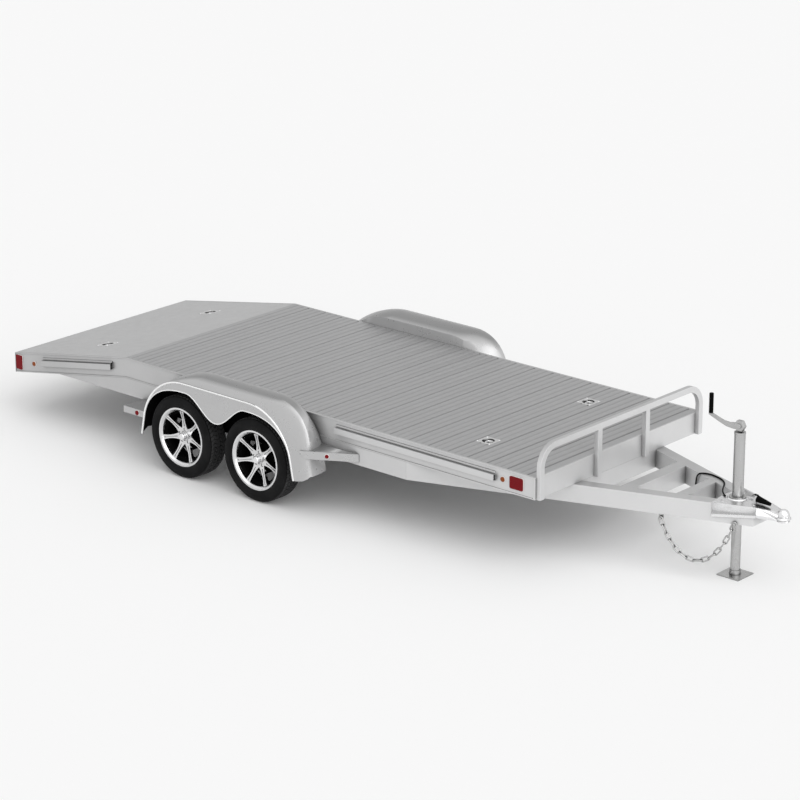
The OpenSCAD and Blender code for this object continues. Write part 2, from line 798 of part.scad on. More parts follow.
module rim(place, side) {
  color(chrome)
    placed()
      at_wheel(axle_x(place), side)
        translate([0, 0, hub_face])
          difference() {
            union() {
              rotate_extrude($fn = 96)
                polygon(rim_profile);
              intersection() {
                linear_extrude(rim_half)
                  for (i = [0 : spokes - 1])
                    rotate([0, 0, 90 + i * 360 / spokes])
                      spoke_outline();
                rotate_extrude($fn = 96)
                  polygon([[0, hub_front - spoke_t], [70, hub_front - spoke_t], [spoke_out, dish_out - spoke_t],
                    [spoke_out, dish_out], [150, hub_front + 14], [70, hub_front], [0, hub_front]]);
              }
              cylinder(r = 74, h = hub_front - 4);
            }
            intersection() {
              linear_extrude(rim_half)
                for (i = [0 : spokes - 1])
                  rotate([0, 0, 90 + i * 360 / spokes])
                    spoke_flute();
              rotate_extrude($fn = 96)
                polygon([[flute_start - 2, hub_front - flute_depth + 2], [150, hub_front + 14 - flute_depth],
                  [spoke_out, dish_out - flute_depth], [spoke_out, rim_half], [flute_start - 2, rim_half]]);
            }
            translate([0, 0, -1])
              cylinder(r = pilot_r + 0.3, h = hub_front + 10);
            for (i = [0 : nuts - 1])
              rotate([0, 0, 90 + i * 360 / nuts])
                translate([nut_circle_r, 0, 0]) {
                  translate([0, 0, -1])
                    cylinder(r = stud_r + 0.3, h = nut_seat + 2);
                  translate([0, 0, nut_seat])
                    cylinder(r = nut_r + 2, h = hub_front);
                }
          }
}

tyre_half = tyre_w / 2;
tread_flat = tyre_half - 35;
groove_at = [-tread_flat * 0.66, -tread_flat * 0.22, tread_flat * 0.22, tread_flat * 0.66];
tyre_side = [
  [seat_r + 0.3, rim_half - 23], [seat_r + 0.3, rim_half - 10.4], [rim_r + 0.4, rim_half - 10.4],
  [rim_r + 0.8, rim_half + 1], [rim_r + 20, tyre_half - 3], [rim_r + 47, tyre_half],
  [tyre_r - 28, tyre_half - 5], [tyre_r - 10, tyre_half - 15], [tyre_r - 2, tyre_half - 28]
];
tyre_inside = [
  [seat_r + 21, rim_half - 22], [rim_r + 22, tyre_half - 14], [rim_r + 48, tyre_half - 12],
  [tyre_r - 31, tyre_half - 18], [tyre_r - 20, tyre_half - 38]
];
tread_line = [for (g = [3 : -1 : 0]) each [[tyre_r, groove_at[g] + 4], [tyre_r - 8, groove_at[g] + 3],
  [tyre_r - 8, groove_at[g] - 3], [tyre_r, groove_at[g] - 4]]];
function flipped(points) = [for (i = [len(points) - 1 : -1 : 0]) [points[i][0], -points[i][1]]];

module tyre(place, side) {
  color(rubber)
    placed()
      at_wheel(axle_x(place), side)
        translate([0, 0, hub_face])
          rotate_extrude($fn = 96)
            polygon(concat(tyre_side, [[tyre_r, tread_flat]], tread_line, [[tyre_r, -tread_flat]],
              flipped(tyre_side), tyre_inside_low(), tyre_inside_high()));
}
function tyre_inside_low() = [for (p = tyre_inside) [p[0], -p[1]]];
function tyre_inside_high() = [for (i = [len(tyre_inside) - 1 : -1 : 0]) tyre_inside[i]];

cap_r = 30;
cap_len = 44;

module hub(place, side) {
  drum_t = hub_face - drum_back;
  color(chrome)
    placed()
      at_wheel(axle_x(place), side)
        translate([0, 0, hub_face]) {
          difference() {
            union() {
              translate([0, 0, -drum_t])
                cylinder(r = drum_r, h = drum_t);
              cylinder(r = pilot_r, h = hub_front);
              translate([0, 0, hub_front])
                cylinder(r = cap_r, h = cap_len - 6);
              translate([0, 0, hub_front + cap_len - 6])
                cylinder(r1 = cap_r, r2 = cap_r - 6, h = 6);
            }
            translate([0, 0, -drum_t - 1])
              cylinder(r = spindle_r + spindle_gap, h = drum_t + 26);
          }
          for (i = [0 : nuts - 1])
            rotate([0, 0, 90 + i * 360 / nuts])
              translate([nut_circle_r, 0, 0]) {
                translate([0, 0, -5])
                  cylinder(r = stud_r, h = nut_seat + 10);
                translate([0, 0, nut_seat])
                  cylinder(r = nut_r, h = 26, $fn = 6);
              }
        }
}

// Coupler

plate_z = beam_top;
plate_top = plate_z + coupler_t;
coupler_rear = tongue_reach - coupler_lap;
coupler_front = tongue_reach + 20;
plate_tail = 22;
skirt_lip_h = 22;
skirt_lip_out = 8;
skirt_low = 48;
boss_r = 80;
boss_h = 8;
jack_x = tongue_reach - jack_back;

// Plan outline of the coupler over the tongue, with a rounded tail between the beams.
function coupler_plan(margin) = [
  [coupler_rear, -tongue_outer_y(coupler_rear) - margin],
  [coupler_front, -tongue_outer_y(coupler_front) - margin],
  [coupler_front, tongue_outer_y(coupler_front) + margin],
  [coupler_rear, tongue_outer_y(coupler_rear) + margin],
  [coupler_rear - plate_tail * 0.8, 90], [coupler_rear - plate_tail, 50],
  [coupler_rear - plate_tail, -50], [coupler_rear - plate_tail * 0.8, -90]
];

module coupler_side() {
  face_len = (coupler_front - coupler_rear) / cos(tongue_angle);
  rear_low = plate_z - coupler_side_h;
  front_low = ball_z - skirt_low;
  translate([coupler_rear, tongue_outer_y(coupler_rear), 0])
    rotate([0, 0, -tongue_angle]) {
      side_plate([[0, rear_low], [face_len, front_low], [face_len, plate_top], [0, plate_top]],
        0.3, 0.3 + coupler_t);
      side_plate([[0, rear_low], [face_len, front_low], [face_len, front_low + skirt_lip_h],
        [0, rear_low + skirt_lip_h]], 0.3 + coupler_t, 0.3 + coupler_t + skirt_lip_out);
    }
}

neck_back = 92;
neck_r = 52;

module coupler() {
  neck_w = 2 * tongue_outer_y(coupler_front) + 2 * coupler_t;
  color(chrome)
    placed()
      difference() {
        union() {
          translate([0, 0, plate_z])
            linear_extrude(coupler_t)
              polygon(coupler_plan(coupler_t));
          translate([jack_x, 0, plate_top])
            cylinder(r1 = boss_r, r2 = boss_r - 8, h = boss_h);
          coupler_side();
          mirror([0, 1, 0])
            coupler_side();
          latch_ears();
          hull() {
            translate([coupler_front - 12, -neck_w / 2, ball_z - skirt_low])
              cube([10, neck_w, plate_top - ball_z + skirt_low]);
            translate([ball_x - neck_back, 0, ball_z - skirt_low])
              cylinder(r = neck_r, h = skirt_low + 22);
            translate([ball_x - 20, 0, ball_z - skirt_low])
              cylinder(r = housing_r - 8, h = skirt_low + 12, $fn = 32);
          }
          translate([ball_x, 0, ball_z])
            rotate_extrude()
              polygon(concat([[0, housing_r - 2]],
                [for (a = [80 : -20 : 0]) [housing_r * cos(a), housing_r * sin(a) - 2]],
                [[housing_r, -14], [mouth_r, -24], [mouth_r, -31], [housing_r + 4, -37],
                  [housing_r + 4, -50], [0, -50]]));
        }
        translate([ball_x, 0, ball_z - 60])
          cylinder(r = socket_r, h = 60);
        translate([ball_x, 0, ball_z])
          sphere(r = socket_r);
        translate([jack_x, 0, plate_z - 1])
          cylinder(r = jack_r + 0.3, h = coupler_t + boss_h + 2);
      }
}

latch_x = ball_x - 258;
latch_z = plate_top + 24;
latch_pin_r = 5;
latch_t = 10;
ear_t = 6;
ear_r = 12;
ear_gap = 0.5;
grip_start = [22, 10];
grip_drop = 7.4;
latch_grip_len = 118;
latch_grip_r = 27;
latch_grip_end_r = 13;

// Ears on the coupler that carry the latch's pin.
module latch_ears() {
  for (side = ["right", "left"])
    on_side(side)
      difference() {
        union() {
          side_plate([[latch_x - ear_r - 6, plate_z + 2], [latch_x + ear_r, plate_z + 2], [latch_x + ear_r, latch_z],
            [latch_x - ear_r, latch_z]], latch_t / 2 + ear_gap, latch_t / 2 + ear_gap + ear_t);
          translate([latch_x, latch_t / 2 + ear_gap, latch_z])
            rotate([-90, 0, 0])
              cylinder(r = ear_r, h = ear_t);
        }
        translate([latch_x, 0, latch_z])
          rotate([-90, 0, 0])
            cylinder(r = latch_pin_r + 0.08, h = latch_t + 2 * ear_t);
      }
}

// The lever rises from its pin to the back of the grip.
module latch_lever() {
  pin_half = latch_t / 2 + ear_gap + ear_t;
  low = grip_start - (latch_grip_r - 8) * [sin(grip_drop), cos(grip_drop)];
  high = grip_start + (latch_grip_r - 4) * [sin(grip_drop), cos(grip_drop)];
  color(chrome)
    placed()
      translate([latch_x, 0, latch_z]) {
        side_plate([[-9, -5], low, high, high + [-12, 2], [-12, 12]], -latch_t / 2, latch_t / 2);
        translate([0, -pin_half, 0])
          rotate([-90, 0, 0])
            cylinder(r = latch_pin_r, h = 2 * pin_half);
      }
}

module latch_grip() {
  color(rubber)
    placed()
      translate([latch_x + grip_start[0], 0, latch_z + grip_start[1]]) {
        rotate([0, 90 + grip_drop, 0])
          cylinder(r1 = latch_grip_r, r2 = latch_grip_end_r, h = latch_grip_len);
        side_plate([[2, 24], [8, 30], [-26, 34], [-44, 22], [-42, 17], [-26, 27]], -9, 9);
      }
}

// Tongue jack

jack_bottom = beam_z - 20;
jack_seat = plate_top + boss_h;
jack_flange = 24;
jack_flange_t = 8;
leg_top = 770;
screw_r = 12;

module jack_tube() {
  color(zinc)
    placed()
      translate([jack_x, 0, 0])
        difference() {
          union() {
            translate([0, 0, jack_bottom])
              cylinder(r = jack_r, h = jack_top - jack_bottom);
            translate([0, 0, jack_seat])
              cylinder(r = jack_r + jack_flange, h = jack_flange_t);
            translate([0, 0, jack_top - 14])
              cylinder(r = jack_r + 2, h = 14);
          }
          translate([0, 0, jack_bottom - 1])
            cylinder(r = jack_leg_r + jack_gap, h = jack_top - jack_bottom - 11);
          cylinder(r = screw_r + 0.5, h = jack_top + 10);
        }
}

leg_wall = 5;
foot_collar_h = 34;

module jack_leg() {
  color(zinc)
    placed()
      translate([jack_x, 0, 0]) {
        translate([-foot_w / 2, -foot_w / 2, 0])
          cube([foot_w, foot_w, foot_t]);
        difference() {
          translate([0, 0, foot_t])
            cylinder(r = jack_leg_r, h = leg_top - foot_t);
          translate([0, 0, foot_t + foot_collar_h])
            cylinder(r = jack_leg_r - leg_wall, h = leg_top);
        }
        translate([0, 0, foot_t])
          cylinder(r = jack_leg_r + 6, h = foot_collar_h);
        translate([0, jack_leg_r + 16, foot_t + foot_collar_h / 2])
          rotate([90, 0, 0])
            cylinder(r = 6, h = 2 * jack_leg_r + 32);
      }
}

crank_z = 1193;
crank_t = 12;
crank_head_r = 46;
crank_head_t = 34;
crank_foot = 40;

module jack_crank() {
  color(zinc)
    placed()
      translate([jack_x, 0, 0]) {
        translate([0, 0, jack_top - 30])
          cylinder(r = screw_r, h = crank_z - jack_top + 30);
        translate([0, crank_head_t / 2, crank_z])
          rotate([90, 0, 0])
            cylinder(r = crank_head_r, h = crank_head_t, $fn = 6);
        translate([0, crank_head_t / 2 + 8, crank_z])
          rotate([90, 0, 0])
            cylinder(r = 19, h = crank_head_t + 16);
        translate([0, 0, crank_z])
          side_plate([[0, -34], [0, 30], [-50, 14], [-99, 6], [-150, 10], [25 - crank_reach, crank_foot],
            [-crank_reach - 18, crank_foot], [-crank_reach - 18, crank_foot - 14],
            [-186, -12], [-127, -32], [-60, -38]], -crank_t / 2, crank_t / 2);
      }
}

module crank_grip() {
  color(rubber)
    placed()
      translate([jack_x - crank_reach, 0, crank_z + crank_foot])
        cylinder(r = grip_r, h = grip_len);
}

// Safety chain

chain_off = 16;
chain_rear = tongue_reach - chain_rear_back;
chain_front = tongue_reach - chain_front_back;
chain_len = sqrt(pow(chain_front - chain_rear, 2) * (1 + pow(tongue_slope, 2)));
anchor_rear_z = beam_z - 22;
anchor_front_z = beam_z + 14;
link_bend = 38;
link_gap = 0.35;
link_pitch = link_inner + chain_d - (chain_d + link_gap) / cos(link_bend / 2);

// Sum of the links' directions for a curve whose slope grows evenly from link to link.
function chain_end(curve, low, n = links) = [for (sum = [0, 0], i = 0; i <= n;
  sum = sum + link_pitch * [cos(atan(curve * (i - low))), sin(atan(curve * (i - low)))], i = i + 1) sum][n];
// Bisection for the low link at a given curve, and for the curve that spans the anchors.
function find_low(curve, rise, lo = -4, hi = 30, n = 28) = n == 0 ? (lo + hi) / 2 :
  let (mid = (lo + hi) / 2) chain_end(curve, mid)[1] > rise ?
    find_low(curve, rise, mid, hi, n - 1) : find_low(curve, rise, lo, mid, n - 1);
function find_curve(span, rise, lo = 0.02, hi = 2, n = 28) = n == 0 ? (lo + hi) / 2 :
  let (mid = (lo + hi) / 2) chain_end(mid, find_low(mid, rise))[0] > span ?
    find_curve(span, rise, mid, hi, n - 1) : find_curve(span, rise, lo, mid, n - 1);

module link() {
  bow = (link_w - chain_d) / 2;
  straight = link_inner + chain_d - 2 * bow;
  for (end = [0, 180])
    rotate([0, 0, end])
      translate([straight / 2, 0, 0])
        rotate([0, 0, -90])
          rotate_extrude(angle = 180, $fn = 24)
            translate([bow, 0])
              circle(d = chain_d, $fn = 20);
  for (y = [-bow, bow])
    translate([-straight / 2, y, 0])
      rotate([0, 90, 0])
        cylinder(d = chain_d, h = straight, $fn = 20);
}

chain_rise = anchor_front_z - anchor_rear_z;
chain_curve = find_curve(chain_len, chain_rise);
chain_low = find_low(chain_curve, chain_rise);
function link_start(i) = chain_end(chain_curve, chain_low, i);
function link_turn(i) = atan(chain_curve * (i - chain_low));

// Draws in the hanging plane: X along the tongue beam's face, Y out from it.
module at_chain() {
  translate([chain_rear, -tongue_outer_y(chain_rear), anchor_rear_z])
    rotate([0, 0, tongue_angle])
      children();
}

module safety_chain() {
  color(zinc)
    placed()
      at_chain()
        for (i = [0 : links - 1])
          translate([link_start(i)[0], -chain_off, link_start(i)[1]])
            rotate([0, -link_turn(i), 0])
              translate([link_pitch / 2, 0, 0])
                rotate([i % 2 == 0 ? 90 : 0, 0, 0])
                  link();
}

anchor_pin_r = 5.5;
anchor_out = chain_off + chain_d / 2 + 1;

// A headed pin that holds an end link, with its back on the beam's face.
module chain_pin(i, along) {
  translate([link_start(i)[0] + along * cos(link_turn(i)), 0, link_start(i)[1] + along * sin(link_turn(i))])
    rotate([90, 0, 0]) {
      cylinder(r = anchor_pin_r, h = anchor_out);
      cylinder(r = anchor_pin_r + 5, h = 3);
      translate([0, 0, anchor_out])
        cylinder(r = anchor_pin_r + 4, h = 4);
    }
}

module chain_anchors() {
  seat = anchor_pin_r + 0.3 - (link_inner - link_pitch) / 2;
  color(zinc)
    placed()
      at_chain() {
        chain_pin(0, seat);
        translate([-18, 0, -16])
          cube([36, 8, beam_z - anchor_rear_z + 16]);
        chain_pin(links - 1, link_pitch - seat);
      }
}

// Wiring lead: its route is a list of chosen points, swept with an eight-sided section.

lead_r = 6;
// Each point: distance back from the tongue's end, distance in from the left beam's outer face,
// and height over the beam's top.
lead_points = [
  [783, 117.2, -99], [778, 119.4, -69], [769, 122.1, -37], [755, 122, -11], [737, 112.4, 4.5],
  [715, 88.4, 6.4], [685, 64.5, 6.4], [645, 47.9, 6.4], [600, 40.4, 6.4], [555, 38, 6.4],
  [510, 45.6, 6.4], [473, 66.1, 6.4], [445, 96.9, 7], [421, 131.1, 8.5], [395, 165.6, 11.5],
  [360, 202.9, 14.5], [330, 223.9, 14], [309, 234.3, 13.6], [291, 239.7, 13.2]
];
lead_route = [for (p = lead_points) let (x = tongue_reach - p[0]) [x, tongue_outer_y(x) - p[1], beam_top + p[2]]];

module wiring_lead() {
  color(rubber)
    placed()
      swept_tube(lead_route, lead_r, [0, 0, 1]);
}

// Lamps

module rounded_plate(w, h, r, t) {
  linear_extrude(t) {
    translate([-w / 2 + r, -h / 2])
      square([w - 2 * r, h]);
    translate([-w / 2, -h / 2 + r])
      square([w, h - 2 * r]);
    for (x = [-1, 1], y = [-1, 1])
      translate([x * (w / 2 - r), y * (h / 2 - r)])
        circle(r = r);
  }
}

lamp_t = 9;
lamp_r = 14;
front_lamp = [130, 100];
front_lamp_back = 181;
front_lamp_drop = 87;
side_lamp = [80, 130];
side_lamp_in = 54;
side_lamp_drop = 88;
tail_lamp = [100, 150];
tail_lamp_inset = 90;
tail_lamp_drop = 92;
marker_r = 20;
rear_marker_in = 166;

// Draws a lamp's outline facing out from the left side, standing at a place (X, Y, Z).
module facing_out(place) {
  translate(place)
    rotate([-90, 0, 0])
      children();
}

module red_lamps() {
  side_lamp_x = tail_x + side_lamp_in;
  color("darkred")
    placed()
      for (side = ["right", "left"])
        on_side(side) {
          facing_out([front_x - front_lamp_back, web_y, deck_z - front_lamp_drop])
            rounded_plate(front_lamp[0], front_lamp[1], lamp_r, lamp_t);
          facing_out([side_lamp_x, web_y, top_at(side_lamp_x) - side_lamp_drop])
            rounded_plate(side_lamp[0], side_lamp[1], lamp_r, lamp_t);
          translate([tail_x, half_w - tail_lamp_inset, top_at(tail_x) - tail_lamp_drop])
            rotate([0, -90, 0])
              rounded_plate(tail_lamp[0], tail_lamp[1], lamp_r, lamp_t);
          at_step_face()
            facing_out([step_len * step_marker_share, 0, step_front_z - step_front_h / 2])
              cylinder(r = step_marker_r, h = lamp_t);
          facing_out([rear_marker_in - step_rear_end, half_w + step_rear_out, step_rear_z - step_rear_h / 2])
            cylinder(r = marker_r, h = lamp_t);
        }
}

step_marker_r = 16;
step_marker_share = 0.47;
amber_front_back = 315;
amber_front_drop = 86;
amber_tail_in = 245;
amber_tail_drop = 98;

module amber_markers() {
  tail_marker_x = tail_x + amber_tail_in;
  color("orange")
    placed()
      for (side = ["right", "left"])
        on_side(side) {
          facing_out([front_x - amber_front_back, web_y, deck_z - amber_front_drop])
            cylinder(r = marker_r, h = lamp_t);
          facing_out([tail_marker_x, web_y, top_at(tail_marker_x) - amber_tail_drop])
            cylinder(r = marker_r, h = lamp_t);
        }
}

// Tie-down rings

pan_flange_t = 4;
pan_wall = 3;
ring_hinge_x = 24;
ring_drop = 12;

module tie_down_pan() {
  saddle_w = 24;
  difference() {
    union() {
      translate([-pan_w / 2, -pan_w / 2, -pan_flange_t])
        cube([pan_w, pan_w, pan_flange_t]);
      translate([0, 0, -pan_depth - pan_wall])
        cylinder(r = pan_r + pan_wall, h = pan_depth);
    }
    translate([0, 0, -pan_depth])
      cylinder(r = pan_r, h = pan_depth + 1);
  }
  difference() {
    translate([ring_hinge_x - 12, -saddle_w / 2, -pan_depth])
      cube([24, saddle_w, pan_depth - ring_drop + 10]);
    translate([ring_hinge_x, -saddle_w, -ring_drop])
      rotate([-90, 0, 0])
        cylinder(r = ring_bar + 0.3, h = 2 * saddle_w);
  }
}

module tie_down_pans() {
  color(zinc)
    placed()
      for (p = ring_places)
        at_ring(p)
          tie_down_pan();
}

module tie_ring(p) {
  leg = 14;
  color(zinc)
    placed()
      at_ring(p)
        translate([ring_hinge_x, 0, -ring_drop]) {
          rotate([90, 0, 0])
            translate([0, 0, -ring_r])
              cylinder(r = ring_bar, h = 2 * ring_r, $fn = 24);
          for (y = [-ring_r, ring_r])
            translate([-leg, y, 0])
              rotate([0, 90, 0])
                cylinder(r = ring_bar, h = leg, $fn = 24);
          for (y = [-ring_r, ring_r])
            translate([0, y, 0])
              sphere(r = ring_bar, $fn = 24);
          translate([-leg, 0, 0])
            rotate([0, 0, 90])
              rotate_extrude(angle = 180, $fn = 48)
                translate([ring_r, 0])
                  circle(r = ring_bar, $fn = 24);
        }
}

main_deck();
tail_deck();
side_rail("right");  // side_rail_right
side_rail("left");  // side_rail_left
side_tracks();
main_beam("right");  // main_beam_right
main_beam("left");  // main_beam_left
tongue_beam("right");  // tongue_beam_right
tongue_beam("left");  // tongue_beam_left
front_plate();
tail_plate();
tongue_crossmembers();
deck_joists();
guard_rail();
fender("right");  // fender_right
fender("left");  // fender_left
step_front("right");  // step_front_right
step_front("left");  // step_front_left
step_rear("right");  // step_rear_right
step_rear("left");  // step_rear_left
axle("front");  // axle_front
axle("rear");  // axle_rear
rim("front", "right");  // rim_front_right
rim("front", "left");  // rim_front_left
rim("rear", "right");  // rim_rear_right
rim("rear", "left");  // rim_rear_left
tyre("front", "right");  // tyre_front_right
tyre("front", "left");  // tyre_front_left
tyre("rear", "right");  // tyre_rear_right
tyre("rear", "left");  // tyre_rear_left
hub("front", "right");  // hub_front_right
hub("front", "left");  // hub_front_left
hub("rear", "right");  // hub_rear_right
hub("rear", "left");  // hub_rear_left
coupler();
latch_lever();
latch_grip();
jack_tube();
jack_leg();
jack_crank();
crank_grip();
safety_chain();
chain_anchors();
wiring_lead();
red_lamps();
amber_markers();
tie_down_pans();
tie_ring([ring_front, -ring_y]);  // ring_front_right
tie_ring([ring_front, ring_y]);  // ring_front_left
tie_ring([-ring_tail, -ring_y]);  // ring_tail_right
tie_ring([-ring_tail, ring_y]);  // ring_tail_left
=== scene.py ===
"""Dresses the open tandem-axle car trailer in its studio.

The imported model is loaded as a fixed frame. Each sub-assembly is a class that builds its visible
meshes around that frame and gives them their finishes: the trailer's frame and floor, the fenders
and steps, the wheels, the tongue with its coupler, jack and chain, the lamps and the tie-downs.
What repeats, such as tread blocks, screws, lens ribs and lamp gaskets, is grown by node trees.
"""

from __future__ import annotations

import logging
import math
import sys
from dataclasses import dataclass, field, replace
from enum import Enum
from typing import Callable, Iterable, Sequence

import bmesh
import bpy
from mathutils import Euler, Matrix, Vector

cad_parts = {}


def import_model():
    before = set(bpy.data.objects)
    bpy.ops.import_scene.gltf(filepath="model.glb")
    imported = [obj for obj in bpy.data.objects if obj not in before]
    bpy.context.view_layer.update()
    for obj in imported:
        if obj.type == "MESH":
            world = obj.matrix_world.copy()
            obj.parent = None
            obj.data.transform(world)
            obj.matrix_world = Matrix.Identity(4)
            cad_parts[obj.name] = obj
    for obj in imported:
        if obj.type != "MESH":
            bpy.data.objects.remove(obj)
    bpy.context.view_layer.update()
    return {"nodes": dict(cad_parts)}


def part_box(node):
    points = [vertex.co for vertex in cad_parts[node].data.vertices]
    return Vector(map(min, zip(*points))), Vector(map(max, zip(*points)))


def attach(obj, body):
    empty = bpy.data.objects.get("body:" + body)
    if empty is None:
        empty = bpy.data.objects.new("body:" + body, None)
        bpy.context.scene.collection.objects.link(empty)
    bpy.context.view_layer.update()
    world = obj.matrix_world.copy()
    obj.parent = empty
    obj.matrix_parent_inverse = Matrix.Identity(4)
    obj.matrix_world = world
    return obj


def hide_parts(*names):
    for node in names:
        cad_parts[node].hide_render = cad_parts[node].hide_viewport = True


LOG = logging.getLogger("trailer")
MM = 0.001
TAIL_X = -3.2
COUPLER_X = 3.7
WELD_GAP = 0.02 * MM
FLAT_ANGLE = math.radians(0.6)
NOISE_RANGE = (0.3, 0.7)

Colour = tuple[float, float, float]
Point = tuple[float, float, float]
Rule = Callable[[Vector, Vector], bool]


class Side(Enum):
    """The two sides of the trailer, with the sign of Y on each."""

    RIGHT = -1
    LEFT = 1

    @property
    def word(self) -> str:
        """The side's name as the frame's nodes spell it."""
        return self.name.lower()


class End(Enum):
    """The front and the rear wheels of the pair, with the sign of X on each."""

    FRONT = 1
    REAR = -1

    @property
    def word(self) -> str:
        """The end's name as the frame's nodes spell it."""
        return self.name.lower()


class Grain(Enum):
    """The direction that a rolled or extruded surface's grain runs along."""

    ALONG = 0
    ACROSS = 1
    UPRIGHT = 2


class NodeBuilder:
    """What the builders of shader and geometry trees share."""

    tree: bpy.types.NodeTree

    def scaled(self, vector: bpy.types.NodeSocket, factor: bpy.types.NodeSocket) -> bpy.types.NodeSocket:
        """Multiplies a vector or a colour by a number.

        Args:
            vector: the vector's socket.
            factor: the number's socket.

        Returns:
            The product.
        """
        made = self.tree.nodes.new("ShaderNodeVectorMath")
        made.operation = "SCALE"
        self.tree.links.new(vector, made.inputs[0])
        self.tree.links.new(factor, made.inputs["Scale"])
        return made.outputs[0]


class Shader(NodeBuilder):
    """A small builder for a material's node tree."""

    def __init__(self, name: str) -> None:
        """Makes an empty material.

        Args:
            name: the material's name.
        """
        self.material = bpy.data.materials.new(name)
        self.material.use_nodes = True
        self.tree = self.material.node_tree
        self.tree.nodes.clear()

    def node(self, kind: str, /, **settings: object) -> bpy.types.Node:
        """Adds a node.

        Args:
            kind: the node's type, without its ShaderNode prefix.
            settings: properties to set, or sockets as in_0, in_1 and so on.

        Returns:
            The new node.
        """
        made = self.tree.nodes.new("ShaderNode" + kind)
        for key, value in settings.items():
            if key.startswith("in_"):
                made.inputs[int(key[3:])].default_value = value
            else:
                setattr(made, key, value)
        return made

    def link(self, start: bpy.types.NodeSocket, end: bpy.types.NodeSocket) -> None:
        """Joins an output to an input."""
        self.tree.links.new(start, end)

    def principled(self, colour: Colour, roughness: float, metallic: float) -> bpy.types.Node:
        """Adds the surface shader and joins it to the output.

        Args:
            colour: the base colour, linear.
            roughness: the base roughness.
            metallic: 1 for bare metal, 0 for the rest.

        Returns:
            The Principled node.
        """
        surface = self.node("BsdfPrincipled")
        surface.inputs["Base Color"].default_value = (*colour, 1.0)
        surface.inputs["Roughness"].default_value = roughness
        surface.inputs["Metallic"].default_value = metallic
        self.link(surface.outputs[0], self.node("OutputMaterial").inputs[0])
        return surface

    def noise(self, scale: Point, detail: float = 4.0, seed: float = 0.0) -> bpy.types.NodeSocket:
        """Adds noise on the object's own coordinates.

        Args:
            scale: how many features there are in a metre along X, Y and Z.
            detail: the number of finer octaves.
            seed: an offset that tells one noise from another.

        Returns:
            The noise's factor, about 0.3 to 0.7.
        """
        place = self.node("TexCoord")
        mapping = self.node("Mapping")
        mapping.inputs["Scale"].default_value = scale
        mapping.inputs["Location"].default_value = (seed, seed * 0.7, seed * 1.3)
        self.link(place.outputs["Object"], mapping.inputs["Vector"])
        noise = self.node("TexNoise")
        noise.inputs["Scale"].default_value = 1.0
        noise.inputs["Detail"].default_value = detail
        self.link(mapping.outputs[0], noise.inputs["Vector"])
        return noise.outputs["Fac"]

    def facing_up(self, start: float, end: float) -> bpy.types.NodeSocket:
        """Measures how far a face looks up.

        Args:
            start: the height of the normal at which the value is still 0.
            end: the height of the normal from which it is 1.

        Returns:
            A value from 0 to 1.
        """
        place = self.node("TexCoord")
        parts = self.node("SeparateXYZ")
        self.link(place.outputs["Normal"], parts.inputs[0])
        return self.spread(parts.outputs[2], start, end)

    def spread(self, value: bpy.types.NodeSocket, low: float, high: float, to_low: float = 0.0,
               to_high: float = 1.0) -> bpy.types.NodeSocket:
        """Maps a value from one range to another.

        Args:
            value: the socket to map.
            low: the low end of its range.
            high: the high end of its range.
            to_low: what the low end becomes.
            to_high: what the high end becomes.

        Returns:
            The mapped value.
        """
        spread = self.node("MapRange", in_1=low, in_2=high, in_3=to_low, in_4=to_high)
        self.link(value, spread.inputs[0])
        return spread.outputs[0]

    def tint(self, value: bpy.types.NodeSocket, dark: Colour | bpy.types.NodeSocket,
             light: Colour | bpy.types.NodeSocket) -> bpy.types.NodeSocket:
        """Mixes two colours by a value.

        Args:
            value: 0 for the first colour, 1 for the second one.
            dark: the first colour, or the socket that gives it.
            light: the second colour, or the socket that gives it.

        Returns:
            The mixed colour.
        """
        mix = self.node("Mix", data_type="RGBA")
        for socket, colour in ((mix.inputs[6], dark), (mix.inputs[7], light)):
            if isinstance(colour, bpy.types.NodeSocket):
                self.link(colour, socket)
            else:
                socket.default_value = (*colour, 1.0)
        self.link(value, mix.inputs[0])
        return mix.outputs[2]

    def along(self, rear: float, ahead: float, at_rear: float, at_ahead: float) -> bpy.types.NodeSocket:
        """Gives a value that changes evenly along the trailer.

        Args:
            rear: the place where the change starts, in metres along X.
            ahead: the place where it ends.
            at_rear: the value at the start.
            at_ahead: the value at the end.

        Returns:
            The value.
        """
        parts = self.node("SeparateXYZ")
        self.link(self.node("TexCoord").outputs["Object"], parts.inputs[0])
        return self.spread(parts.outputs["X"], rear, ahead, at_rear, at_ahead)

    def openness(self, reach: float) -> bpy.types.NodeSocket:
        """Measures how open a place is: low in a crevice, high on a bare face.

        Args:
            reach: how far a neighbouring surface counts, in metres.

        Returns:
            A value from 0 to 1.
        """
        around = self.node("AmbientOcclusion", samples=8)
        around.inputs["Distance"].default_value = reach
        return around.outputs["AO"]

    def bump(self, height: bpy.types.NodeSocket, distance: float) -> bpy.types.NodeSocket:
        """Turns a height into a normal.

        Args:
            height: the height's socket.
            distance: the height of a full step, in metres.

        Returns:
            The bumped normal.
        """
        bump = self.node("Bump")
        bump.inputs["Strength"].default_value = 1.0
        bump.inputs["Distance"].default_value = distance
        self.link(height, bump.inputs["Height"])
        return bump.outputs[0]


def shade(colour: Colour, factor: float) -> Colour:
    """Multiplies a linear colour by a factor, none of it over 1."""
    red, green, blue = (min(1.0, part * factor) for part in colour)
    return (red, green, blue)


@dataclass(frozen=True)
class Finish:
    """A surface's look. Subclasses add what their own surface shows."""

    name: str
    slot: str
    colour: Colour
    roughness: float

    def make(self) -> bpy.types.Material:
        """Builds the material and returns it."""
        raise NotImplementedError


